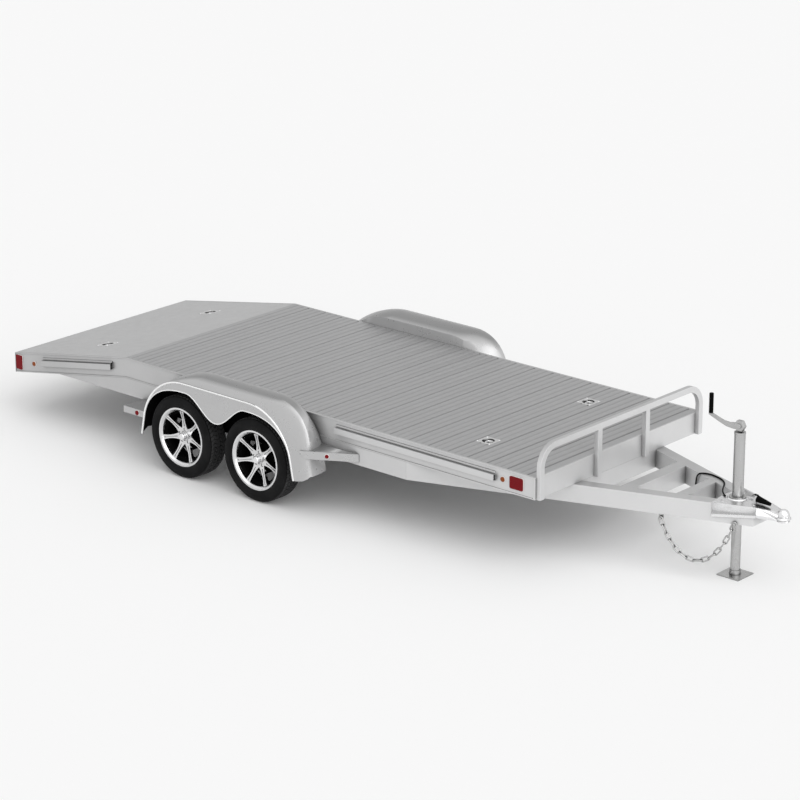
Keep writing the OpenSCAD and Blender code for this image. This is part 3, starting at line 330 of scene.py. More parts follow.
@dataclass(frozen=True)
class MillMetal(Finish):
    """Rolled or extruded metal: fine grain along one direction and soft clouds, with painted shade on the
    faces that look up and in its crevices, and painted light that makes it paler towards the front."""

    grain: Grain = Grain.ALONG
    metallic: float = 1.0
    cloud: float = 0.03
    grain_depth: float = 0.00002
    # Painted shade: the faces that look up are darkened to this share of the colour; 1 leaves them as they
    # are.
    dust: float = 1.0
    dust_start: float = 0.25
    dust_end: float = 0.97
    # Painted shade: crevices and places close to other parts, found by ambient occlusion within the reach,
    # are darkened towards this share of the colour; 1 leaves them as they are.
    crevice_shade: float = 0.55
    crevice_shade_reach: float = 0.025
    crevice_shade_range: tuple[float, float] = (0.25, 0.90)
    fringe: float = 1.0
    # Painted light: the colour is this share darker at the tail and this share paler at the coupler.
    fade: float = 0.0
    cloud_scale: float = 2.2
    mark_scale: float = 14.0
    mark_depth: tuple[float, float] = (-0.05, 0.06)
    line_scale: float = 900.0
    line_length_scale: float = 6.0

    def _clouded(self, shader: Shader, clouds: bpy.types.NodeSocket, level: float) -> bpy.types.NodeSocket:
        """The colour at a level of brightness, with its soft clouds."""
        return shader.tint(clouds, shade(self.colour, level * (1.0 - self.cloud)),
                           shade(self.colour, level * (1.0 + self.cloud)))

    def make(self) -> bpy.types.Material:
        """Builds the grained metal.

        Returns:
            The finished material.
        """
        shader = Shader(self.name)
        surface = shader.principled(self.colour, self.roughness, self.metallic)
        clouds = shader.spread(shader.noise((self.cloud_scale,) * 3, detail=5.0, seed=4.1), *NOISE_RANGE)
        clean = self._clouded(shader, clouds, 1.0)
        # Painted shade on the faces that look up.
        if self.dust < 1.0:
            dusty_and_top_shaded = self._clouded(shader, clouds, self.dust)
            clean = shader.tint(shader.facing_up(self.dust_start, self.dust_end), clean, dusty_and_top_shaded)
        # Painted shade in crevices and between parts.
        if self.crevice_shade < 1.0:
            open_part = shader.spread(shader.openness(self.crevice_shade_reach), *self.crevice_shade_range)
            clean = shader.tint(open_part, shade(self.colour, self.crevice_shade), clean)
        # Painted light: paler towards the front of the trailer, darker towards the tail.
        if self.fade > 0.0:
            clean = shader.scaled(clean, shader.along(TAIL_X, COUPLER_X, 1.0 - self.fade, 1.0 + self.fade))
        shader.link(clean, surface.inputs["Base Color"])
        surface.inputs["Specular Tint"].default_value = (self.fringe, self.fringe, self.fringe, 1.0)
        marks = shader.noise((self.mark_scale,) * 3, detail=6.0, seed=8.3)
        rough = (self.roughness + change for change in self.mark_depth)
        shader.link(shader.spread(marks, *NOISE_RANGE, *rough), surface.inputs["Roughness"])
        lines = [self.line_scale] * 3
        lines[self.grain.value] = self.line_length_scale
        grain = shader.noise(tuple(lines), detail=3.0, seed=1.7)
        shader.link(shader.bump(grain, self.grain_depth), surface.inputs["Normal"])
        return shader.material


@dataclass(frozen=True)
class Rubber(Finish):
    """Moulded rubber: dark, with a fine matt grain and a little pale powder in its low places."""

    # In rubber this is real powder, paler in patches; in the metals the same name is painted shade on what
    # looks up.
    dust: float = 0.02
    gloss: float = 0.18
    patch_scale: float = 9.0
    patch_range: tuple[float, float] = (0.42, 0.68)
    grain_scale: float = 700.0
    grain_depth: float = 0.00006

    def make(self) -> bpy.types.Material:
        """Builds the rubber.

        Returns:
            The finished material.
        """
        shader = Shader(self.name)
        surface = shader.principled(self.colour, self.roughness, 0.0)
        surface.inputs["Specular IOR Level"].default_value = self.gloss
        patches = shader.spread(shader.noise((self.patch_scale,) * 3, detail=5.0, seed=2.9),
                                *self.patch_range)
        dusty_and_top_shaded = tuple(part + self.dust for part in self.colour)
        shader.link(shader.tint(patches, self.colour, dusty_and_top_shaded), surface.inputs["Base Color"])
        grain = shader.noise((self.grain_scale,) * 3, detail=2.0, seed=5.5)
        shader.link(shader.bump(grain, self.grain_depth), surface.inputs["Normal"])
        return shader.material


@dataclass(frozen=True)
class Lens(Finish):
    """A moulded lamp lens: glossy coloured plastic with a faint inner pattern."""

    gloss: float = 0.25
    pattern: float = 1.35
    cell_scale: float = 160.0
    cell_range: tuple[float, float] = (0.35, 0.65)
    coat_share: float = 0.25
    coat_roughness: float = 0.12

    def make(self) -> bpy.types.Material:
        """Builds the lens.

        Returns:
            The finished material.
        """
        shader = Shader(self.name)
        surface = shader.principled(self.colour, self.roughness, 0.0)
        surface.inputs["Specular IOR Level"].default_value = self.gloss
        surface.inputs["Coat Weight"].default_value = self.gloss * self.coat_share
        surface.inputs["Coat Roughness"].default_value = self.coat_roughness
        cells = shader.spread(shader.noise((self.cell_scale,) * 3, detail=1.0, seed=3.3), *self.cell_range)
        shader.link(shader.tint(cells, self.colour, shade(self.colour, self.pattern)),
                    surface.inputs["Base Color"])
        return shader.material


# The frame's metal, with painted shade on what looks up and in crevices, and painted light paler towards
# the front.
FRAME_METAL = MillMetal("frame_metal", "frame_metal", (0.60, 0.60, 0.602), 0.38, metallic=0.55, dust=0.66,
                        crevice_shade=0.40, crevice_shade_reach=0.11, fade=0.19)
DECK_METAL = MillMetal("deck_metal", "deck_planks", (0.347, 0.347, 0.350), 0.45, grain=Grain.ACROSS,
                       metallic=0.6, cloud=0.015, grain_depth=0.00001)
# Painted shade: the deck's grooves between the ribs are coloured darker.
GROOVE_SHADE = replace(DECK_METAL, name="deck_groove_painted_shade", colour=(0.310, 0.310, 0.312))
# Painted light: the tail floor is a paler copy of the deck metal, for the light that its slope catches.
TAIL_LIT_METAL = replace(DECK_METAL, name="tail_metal", slot="tail_planks", colour=(0.49, 0.49, 0.493))
# Painted shade: the tail's grooves are coloured darker.
TAIL_GROOVE_SHADE = replace(TAIL_LIT_METAL, name="tail_groove_painted_shade", colour=(0.41, 0.41, 0.412))
# The fenders' metal, with painted shade on the faces that look up.
FENDER_METAL = MillMetal("fender_metal", "fender_metal", (0.49, 0.49, 0.492), 0.30, metallic=0.6,
                         cloud=0.015, dust=0.54, dust_start=0.60, dust_end=0.86, crevice_shade=1.0)
# Painted highlight: a near-white colour along the fenders' rolled edges.
BEAD_HIGHLIGHT = MillMetal("bead_metal", "fender_metal", (0.92, 0.92, 0.92), 0.25, metallic=0.4,
                       cloud=0.01, crevice_shade=1.0)
DARK_STEEL = MillMetal("dark_steel", "dark_steel", (0.014, 0.014, 0.015), 0.75, metallic=0.0)
# Painted shade in the rims' crevices.
ALLOY = MillMetal("wheel_alloy", "alloy", (0.72, 0.72, 0.725), 0.20, cloud=0.02, grain_depth=0.00001,
                  crevice_shade=0.25, crevice_shade_reach=0.05, fringe=0.6)
BRIGHT = MillMetal("bright_plate", "bright_metal", (0.82, 0.82, 0.825), 0.26,
                   grain_depth=0.000005, crevice_shade=1.0, fringe=0.4)
# Painted shade in the crevices of the jack and its crank.
ZINC = MillMetal("zinc_plate", "zinc", (0.50, 0.50, 0.498), 0.28, grain=Grain.UPRIGHT, cloud=0.10,
                 crevice_shade=0.25, crevice_shade_reach=0.02, fringe=0.5)
# Painted shade: the pans' recesses are darkened almost to black.
PAN_METAL = MillMetal("pan_zinc", "zinc", (0.50, 0.50, 0.50), 0.30, crevice_shade=0.05, crevice_shade_reach=0.035)
# Painted shade between the chain's links.
CHAIN_METAL = MillMetal("chain_zinc", "zinc", (0.50, 0.50, 0.498), 0.22, crevice_shade=0.08, crevice_shade_reach=0.025,
                        fringe=0.1)
TYRE = Rubber("tyre_rubber", "tyre", (0.0035, 0.0035, 0.0038), 0.62, dust=0.004, gloss=0.12)
TREAD = Rubber("tread_rubber", "tyre", (0.032, 0.032, 0.0325), 0.7, dust=0.015, gloss=0.15)
# Painted shade: near-black put where shade falls inside the fenders, the track openings and the rims'
# pockets; the hubs' hidden faces take it too.
PAINTED_SHADE = Rubber("painted_shade_black", "dark_steel", (0.002, 0.002, 0.002), 0.9, dust=0.001, gloss=0.03)
GRIP = Rubber("grip_rubber", "black_rubber", (0.0015, 0.0015, 0.0015), 0.5, dust=0.001, gloss=0.04)
GASKET = Lens("lamp_gasket", "bright_metal", (0.78, 0.74, 0.72), 0.35)
RED_LENS = Lens("red_lens", "red_lens", (0.150, 0.003, 0.006), 0.28, gloss=0.10)
AMBER_LENS = Lens("amber_lens", "amber_lens", (0.21, 0.055, 0.015), 0.28, gloss=0.12)


class Finishes:
    """Builds each finish once and hands it out."""

    def __init__(self) -> None:
        """Starts with none built."""
        self._made: dict[str, bpy.types.Material] = {}

    def of(self, finish: Finish) -> bpy.types.Material:
        """The finish's material.

        Args:
            finish: the finish that is wanted.

        Returns:
            Its material, the same one each time.
        """
        if finish.name not in self._made:
            self._made[finish.name] = finish.make()
        return self._made[finish.name]


def new_object(name: str, data: bpy.types.ID) -> bpy.types.Object:
    """Adds a mesh, a lamp or a camera to the scene as an object at the origin.

    Args:
        name: the object's name.
        data: its mesh, lamp or camera.

    Returns:
        The new object.
    """
    made = bpy.data.objects.new(name, data)
    bpy.context.scene.collection.objects.link(made)
    return made


def solid_mesh(shape: bmesh.types.BMesh, name: str) -> bpy.types.Mesh:
    """Turns a closed shape's faces outwards and keeps it as a mesh.

    Args:
        shape: the shape, which is used up.
        name: the mesh's name.

    Returns:
        The mesh.
    """
    bmesh.ops.recalc_face_normals(shape, faces=shape.faces)
    mesh = bpy.data.meshes.new(name)
    shape.to_mesh(mesh)
    shape.free()
    return mesh


def skin(shape: bmesh.types.BMesh, rings: Sequence[Sequence[bmesh.types.BMVert]]) -> None:
    """Joins rings of corners one after the other and closes both ends.

    Args:
        shape: the shape that the corners belong to.
        rings: the rings, all with the same number of corners.
    """
    for one, two in zip(rings, rings[1:]):
        for i in range(len(one)):
            j = (i + 1) % len(one)
            shape.faces.new((one[i], one[j], two[j], two[i]))
    shape.faces.new(list(reversed(rings[0])))
    shape.faces.new(rings[-1])


def smooth_path(places: Sequence[Vector], steps: int) -> list[Vector]:
    """Draws a smooth curve through places.

    Args:
        places: where the curve passes.
        steps: the number of points for each stretch between two places.

    Returns:
        The curve's points, without the last place.
    """
    path = []
    last = len(places) - 1
    for i in range(last):
        before, start, end, after = (places[max(0, min(last, k))] for k in (i - 1, i, i + 1, i + 2))
        for t in (step / steps for step in range(steps)):
            path.append(0.5 * (2 * start + (end - before) * t
                               + (2 * before - 5 * start + 4 * end - after) * t ** 2
                               + (3 * start - before - 3 * end + after) * t ** 3))
    return path


def smooth_by_angle(mesh: bpy.types.Mesh, angle: float) -> None:
    """Shades faces smooth and marks their edges sharp past an angle in degrees."""
    mesh.shade_smooth()
    mesh.set_sharp_from_angle(angle=math.radians(angle))


class Growth(NodeBuilder):
    """A small builder for a tree of geometry nodes that grows a mesh from named sizes."""

    def __init__(self, name: str) -> None:
        """Starts a tree with a geometry input and output.

        Args:
            name: the tree's name.
        """
        self.tree = bpy.data.node_groups.new(name, "GeometryNodeTree")
        self.tree.interface.new_socket("Geometry", in_out="INPUT", socket_type="NodeSocketGeometry")
        self.tree.interface.new_socket("Geometry", in_out="OUTPUT", socket_type="NodeSocketGeometry")
        self.tree.interface.new_socket("Finish", in_out="INPUT", socket_type="NodeSocketMaterial")
        self.inputs = self.tree.nodes.new("NodeGroupInput")
        self.output = self.tree.nodes.new("NodeGroupOutput")

    def size(self, name: str, kind: str, value: object) -> bpy.types.NodeSocket:
        """Adds a named input.

        Args:
            name: the input's name.
            kind: Float, Int, Vector or Rotation.
            value: its value where a piece sets none.

        Returns:
            The input's socket inside the tree.
        """
        socket = self.tree.interface.new_socket(name, in_out="INPUT", socket_type="NodeSocket" + kind)
        socket.default_value = value
        return self.inputs.outputs[name]

    def node(self, kind: str, /, **sockets: object) -> bpy.types.Node:
        """Adds a node and fills its inputs.

        Args:
            kind: the node's whole type name.
            sockets: values or sockets by input name, with spaces written as underscores.

        Returns:
            The new node.
        """
        made = self.tree.nodes.new(kind)
        for key, value in sockets.items():
            socket = made.inputs[key.replace("_", " ")]
            if isinstance(value, bpy.types.NodeSocket):
                self.tree.links.new(value, socket)
            else:
                socket.default_value = value
        return made

    def finish(self, geometry: bpy.types.NodeSocket) -> Growth:
        """Ends the tree: the instances become real and take their finish.

        Args:
            geometry: the geometry that the tree made.

        Returns:
            The tree itself.
        """
        real = self.node("GeometryNodeRealizeInstances", Geometry=geometry)
        dressed = self.node("GeometryNodeSetMaterial", Geometry=real.outputs[0],
                            Material=self.inputs.outputs["Finish"])
        self.tree.links.new(dressed.outputs[0], self.output.inputs[0])
        return self

    def grow(self, name: str, seed_mesh: bpy.types.Mesh, material: bpy.types.Material,
             **sizes: object) -> bpy.types.Object:
        """Runs the tree on a mesh and keeps the result as a plain mesh.

        Args:
            name: the piece's name.
            seed_mesh: the mesh that the tree starts from.
            material: the piece's material.
            sizes: the tree's named inputs, with spaces written as underscores.

        Returns:
            The finished piece, with no modifier left.
        """
        piece = new_object(name, seed_mesh)
        modifier = piece.modifiers.new("growth", "NODES")
        modifier.node_group = self.tree
        values = {key.replace("_", " "): value for key, value in sizes.items()}
        values["Finish"] = material
        for item in self.tree.interface.items_tree:
            if item.in_out == "INPUT" and item.name in values:
                modifier[item.identifier] = values[item.name]
        graph = bpy.context.evaluated_depsgraph_get()
        plain = bpy.data.meshes.new_from_object(piece.evaluated_get(graph))
        piece.modifiers.remove(modifier)
        piece.data = plain
        plain.name = name
        LOG.info("%s grown, %d faces", name, len(plain.polygons))
        return piece


def repeat_tree() -> Growth:
    """Builds the tree that repeats its seed mesh in steps along a line or turns around an axis.

    Returns:
        The tree, with Count, Step, Turn and Place as its sizes.
    """
    growth = Growth("repeat")
    count = growth.size("Count", "Int", 2)
    step = growth.size("Step", "Vector", (0.0, 0.0, 0.0))
    turn = growth.size("Turn", "Vector", (0.0, 0.0, 0.0))
    place = growth.size("Place", "Vector", (0.0, 0.0, 0.0))
    index = growth.node("GeometryNodeInputIndex").outputs[0]
    points = growth.node("GeometryNodePoints", Count=count, Position=growth.scaled(step, index))
    copies = growth.node("GeometryNodeInstanceOnPoints", Points=points.outputs[0],
                         Instance=growth.inputs.outputs["Geometry"], Rotation=growth.scaled(turn, index))
    moved = growth.node("GeometryNodeTransform", Geometry=copies.outputs[0], Translation=place)
    return growth.finish(moved.outputs[0])


def fastener_tree() -> Growth:
    """Builds the tree that sets a fastener with its washer on every point of its seed mesh.

    Returns:
        The tree, with Sides, Head radius, Crown radius, Head height, Washer radius and Washer height.
    """
    growth = Growth("fasteners")
    sides = growth.size("Sides", "Int", 6)
    head = growth.size("Head radius", "Float", 0.01)
    crown = growth.size("Crown radius", "Float", 0.009)
    high = growth.size("Head height", "Float", 0.008)
    washer_r = growth.size("Washer radius", "Float", 0.014)
    washer_t = growth.size("Washer height", "Float", 0.002)
    turn = growth.node("GeometryNodeInputNamedAttribute")
    turn.data_type = "FLOAT_VECTOR"
    turn.inputs["Name"].default_value = "turn"
    washer = growth.node("GeometryNodeMeshCylinder", Vertices=20, Radius=washer_r, Depth=washer_t)
    body = growth.node("GeometryNodeMeshCone", Vertices=sides, Radius_Top=crown, Radius_Bottom=head,
                       Depth=high)
    both = growth.tree.nodes.new("GeometryNodeJoinGeometry")
    for part in (washer, body):
        growth.tree.links.new(part.outputs["Mesh"], both.inputs[0])
    set_on = growth.node("GeometryNodeInstanceOnPoints", Points=growth.inputs.outputs["Geometry"],
                         Instance=both.outputs[0], Rotation=turn.outputs[0])
    return growth.finish(set_on.outputs[0])


def bead_tree() -> Growth:
    """Builds the tree that lays a round bead along the edges of its seed mesh.

    Returns:
        The tree, with Radius as its size.
    """
    growth = Growth("bead")
    radius = growth.size("Radius", "Float", 0.003)
    line = growth.node("GeometryNodeMeshToCurve", Mesh=growth.inputs.outputs["Geometry"])
    ring = growth.node("GeometryNodeCurvePrimitiveCircle", Resolution=10, Radius=radius)
    tube = growth.node("GeometryNodeCurveToMesh", Curve=line.outputs[0], Profile_Curve=ring.outputs[0],
                       Fill_Caps=True)
    smooth = growth.node("GeometryNodeSetShadeSmooth", Geometry=tube.outputs[0], Shade_Smooth=True)
    return growth.finish(smooth.outputs[0])


@dataclass
class Workshop:
    """What every sub-assembly is built with: the loaded frame, the finishes and the node trees."""

    nodes: dict[str, bpy.types.Object]
    finishes: Finishes = field(default_factory=Finishes)
    repeat: Growth = field(default_factory=repeat_tree)
    fasteners: Growth = field(default_factory=fastener_tree)
    bead: Growth = field(default_factory=bead_tree)

    def dress(self, node: str, finish: Finish) -> None:
        """Gives a carried-over node its finish.

        Args:
            node: the node's name.
            finish: its finish.
        """
        slots = self.nodes[node].data.materials
        slots.clear()
        slots.append(self.finishes.of(finish))

    def add(self, piece: bpy.types.Object, body: str, finish: Finish) -> None:
        """Makes a new piece ride on its body.

        Args:
            piece: the piece.
            body: the body that it rides on.
            finish: not used.
        """
        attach(piece, body)

    def refine(self, node: str, body: str, finish: Finish, width: float = 0.0015, segments: int = 2,
               angle: float = 28.0, coats: Sequence[tuple[Rule, Finish]] = ()) -> None:
        """Stands a copy of a node in its place, with its sharp edges slightly rounded.

        Args:
            node: the node's name.
            body: the body that it rides on.
            finish: its finish.
            width: the width of the rounding, in metres.
            segments: the number of faces across the rounding.
            angle: edges sharper than this are rounded, in degrees.
            coats: other finishes, each with the rule that picks its faces. The last that fits counts.
        """
        mesh = self.nodes[node].data.copy()
        shape = bmesh.new()
        shape.from_mesh(mesh)
        bmesh.ops.remove_doubles(shape, verts=shape.verts, dist=WELD_GAP)
        bmesh.ops.dissolve_limit(shape, angle_limit=FLAT_ANGLE, verts=shape.verts, edges=shape.edges,
                                 delimit={"NORMAL"})
        mesh.materials.clear()
        mesh.materials.append(self.finishes.of(finish))
        for index, (rule, coat) in enumerate(coats, start=1):
            mesh.materials.append(self.finishes.of(coat))
            for face in shape.faces:
                if rule(face.calc_center_median(), face.normal):
                    face.material_index = index
        shape.to_mesh(mesh)
        shape.free()
        mesh.name = node + "_dressed"
        piece = new_object(node + "_dressed", mesh)
        smooth_by_angle(mesh, angle)
        bevel = piece.modifiers.new("edges", "BEVEL")
        bevel.width = width
        bevel.segments = segments
        bevel.limit_method = "ANGLE"
        bevel.angle_limit = math.radians(angle)
        bevel.harden_normals = True
        bevel.use_clamp_overlap = True
        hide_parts(node)
        LOG.info("%s refined, %d faces", node, len(mesh.polygons))
        self.add(piece, body, finish)

    def fasten(self, name: str, body: str, finish: Finish, places: Sequence[tuple[Point, Euler]],
               **sizes: object) -> None:
        """Sets a fastener on every place.

        Args:
            name: the piece's name.
            body: the body that it rides on.
            finish: its finish.
            places: each fastener's seat and the turn that stands it up from there.
            sizes: the fastener's sizes, as the tree names them.
        """
        mesh = bpy.data.meshes.new(name)
        mesh.from_pydata([place for place, _ in places], [], [])
        turns = mesh.attributes.new("turn", "FLOAT_VECTOR", "POINT")
        for data, (_, turn) in zip(turns.data, places):
            data.vector = tuple(turn)
        self.add(self.fasteners.grow(name, mesh, self.finishes.of(finish), **sizes), body, finish)


@dataclass
class Frame:
    """The trailer's floor, rails, beams, plates and guard."""

    workshop: Workshop
    plain: Sequence[str] = ("side_rail_right", "side_rail_left", "main_beam_right", "main_beam_left",
                            "tongue_beam_right", "tongue_beam_left", "front_plate", "tail_plate",
                            "tongue_crossmembers", "guard_rail")
    track_drop: float = 85 * MM
    track_half: float = 25 * MM
    track_margin: float = 2 * MM
    track_reach: float = 28 * MM
    groove_depth: float = 0.5 * MM
    tail_drop: float = 250 * MM
    tail_len: float = 1401 * MM

    def top_at(self, x: float) -> float:
        """The floor's height above the ground.

        Args:
            x: the place along the trailer.

        Returns:
            The height, which falls along the tail.
        """
        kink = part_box("tail_deck")[1][0]
        deck_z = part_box("main_deck")[1][2]
        return deck_z - max(0.0, kink - x) * self.tail_drop / self.tail_len

    def is_track_inside(self, place: Vector, normal: Vector) -> bool:
        """Tells whether a face of the side tracks lies inside their opening.

        Args:
            place: the face's middle.
            normal: the way it faces.

        Returns:
            Whether it takes painted shade, black where shade falls inside the opening.
        """
        low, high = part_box("side_tracks")
        from_edge = high[1] - abs(place.y)
        below = self.top_at(place.x) - place.z - self.track_drop
        inside = (abs(below) < self.track_half - self.track_margin
                  and self.track_margin < from_edge < self.track_reach)
        along_wall = abs(normal.z) > 0.3 and normal.z * below > 0.0
        behind_wall = normal.y * math.copysign(1.0, place.y) < -0.5
        return inside and (along_wall or behind_wall) and abs(normal.x) < 0.5

    def is_groove(self, place: Vector, normal: Vector) -> bool:
        """Tells whether a face of the floor, by its middle and its direction, lies between the ribs."""
        return normal.z > 0.1 and self.top_at(place.x) - place.z > self.groove_depth

    def build(self) -> None:
        """Dresses every node of the frame."""
        for node in self.plain:
            self.workshop.refine(node, "chassis", FRAME_METAL, width=0.002)
        # The insides of the track openings take painted shade.
        self.workshop.refine("side_tracks", "chassis", FRAME_METAL, width=0.0012,
                             coats=[(self.is_track_inside, PAINTED_SHADE)])
        # The floors' grooves take their painted shade.
        self.workshop.refine("main_deck", "chassis", DECK_METAL, width=0.0008,
                             coats=[(self.is_groove, GROOVE_SHADE)])
        self.workshop.refine("tail_deck", "chassis", TAIL_LIT_METAL, width=0.0004,
                             coats=[(self.is_groove, TAIL_GROOVE_SHADE)])
        self.workshop.dress("deck_joists", FRAME_METAL)


@dataclass
class Fenders:
    """The two fenders and the four steps."""

    workshop: Workshop
    skin_depth: float = 14 * MM
    bead_rise: float = 5.6 * MM
    arch_z: float = 360 * MM
    arch_half: float = 370 * MM
    # The black sheet of painted shade inside each fender: its arc, heights, steps, gap to the rail and
    # thickness.
    shade_sheet_r: float = 455 * MM
    shade_sheet_low: float = 400 * MM
    shade_sheet_high: float = 785 * MM
    shade_sheet_steps: int = 16
    shade_sheet_gap: float = 0.4 * MM
    shade_sheet_t: float = 1.2 * MM
    crown_half: float = 400 * MM

    def is_inside(self, side: Side) -> Rule:
        """Makes the rule that picks the faces inside a fender.

        Args:
            side: the fender's side.

        Returns:
            The rule.
        """
        low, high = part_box(f"fender_{side.word}")
        centre = Vector(((low[0] + high[0]) / 2, (low[1] + high[1]) / 2, self.arch_z))
        outer = max(abs(low[1]), abs(high[1])) - self.skin_depth

        def rule(place: Vector, normal: Vector) -> bool:
            """Tells whether a face is on the inside."""
            inward = normal.y * side.value < -0.9
            if abs(place.y) > outer:
                return inward
            reach = max(-self.crown_half, min(self.crown_half, place.x - centre.x))
            along = Vector((reach + centre.x, centre.y, centre.z))
            return (along - place).dot(normal) > 0.0

        return rule

    def is_bead(self, side: Side) -> Rule:
        """Makes the rule that picks the rolled edges of a fender.

        Args:
            side: the fender's side.

        Returns:
            The rule.
        """
        low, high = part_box(f"fender_{side.word}")
        edge = max(abs(low[1]), abs(high[1])) - self.bead_rise
        return lambda place, normal: abs(place.y) > edge

    def _line(self, side: Side) -> None:
        """Hangs a thin black sheet on the rail inside a fender: painted shade for the wheel well.

        Args:
            side: the fender's side.
        """
        low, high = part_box(f"fender_{side.word}")
        middle = (low[0] + high[0]) / 2
        wall = min(abs(low[1]), abs(high[1]))
        half = []
        for i in range(self.shade_sheet_steps + 1):
            z = self.shade_sheet_low + (self.shade_sheet_high - self.shade_sheet_low) * i / self.shade_sheet_steps
            half.append((self.arch_half + math.sqrt(self.shade_sheet_r ** 2 - (z - self.arch_z) ** 2), z))
        plan = half + [(-x, z) for x, z in reversed(half)]
        shape = bmesh.new()
        sheets = [[shape.verts.new((middle + x, side.value * (wall + out), z)) for x, z in plan]
                  for out in (self.shade_sheet_gap, self.shade_sheet_gap + self.shade_sheet_t)]
        skin(shape, sheets)
        mesh = solid_mesh(shape, f"fender_liner_{side.word}")
        mesh.materials.append(self.workshop.finishes.of(PAINTED_SHADE))
        self.workshop.add(new_object(mesh.name, mesh), "chassis", PAINTED_SHADE)

    def build(self) -> None:
        """Dresses the fenders and the steps."""
        for side in Side:
            self._line(side)
            # Painted highlight on the fender's rolled edges and painted shade on its inside faces.
            self.workshop.refine(f"fender_{side.word}", "chassis", FENDER_METAL, width=0.001, angle=40.0,
                                 coats=[(self.is_bead(side), BEAD_HIGHLIGHT), (self.is_inside(side), PAINTED_SHADE)])
            for end in End:
                self.workshop.refine(f"step_{end.word}_{side.word}", "chassis", FENDER_METAL)


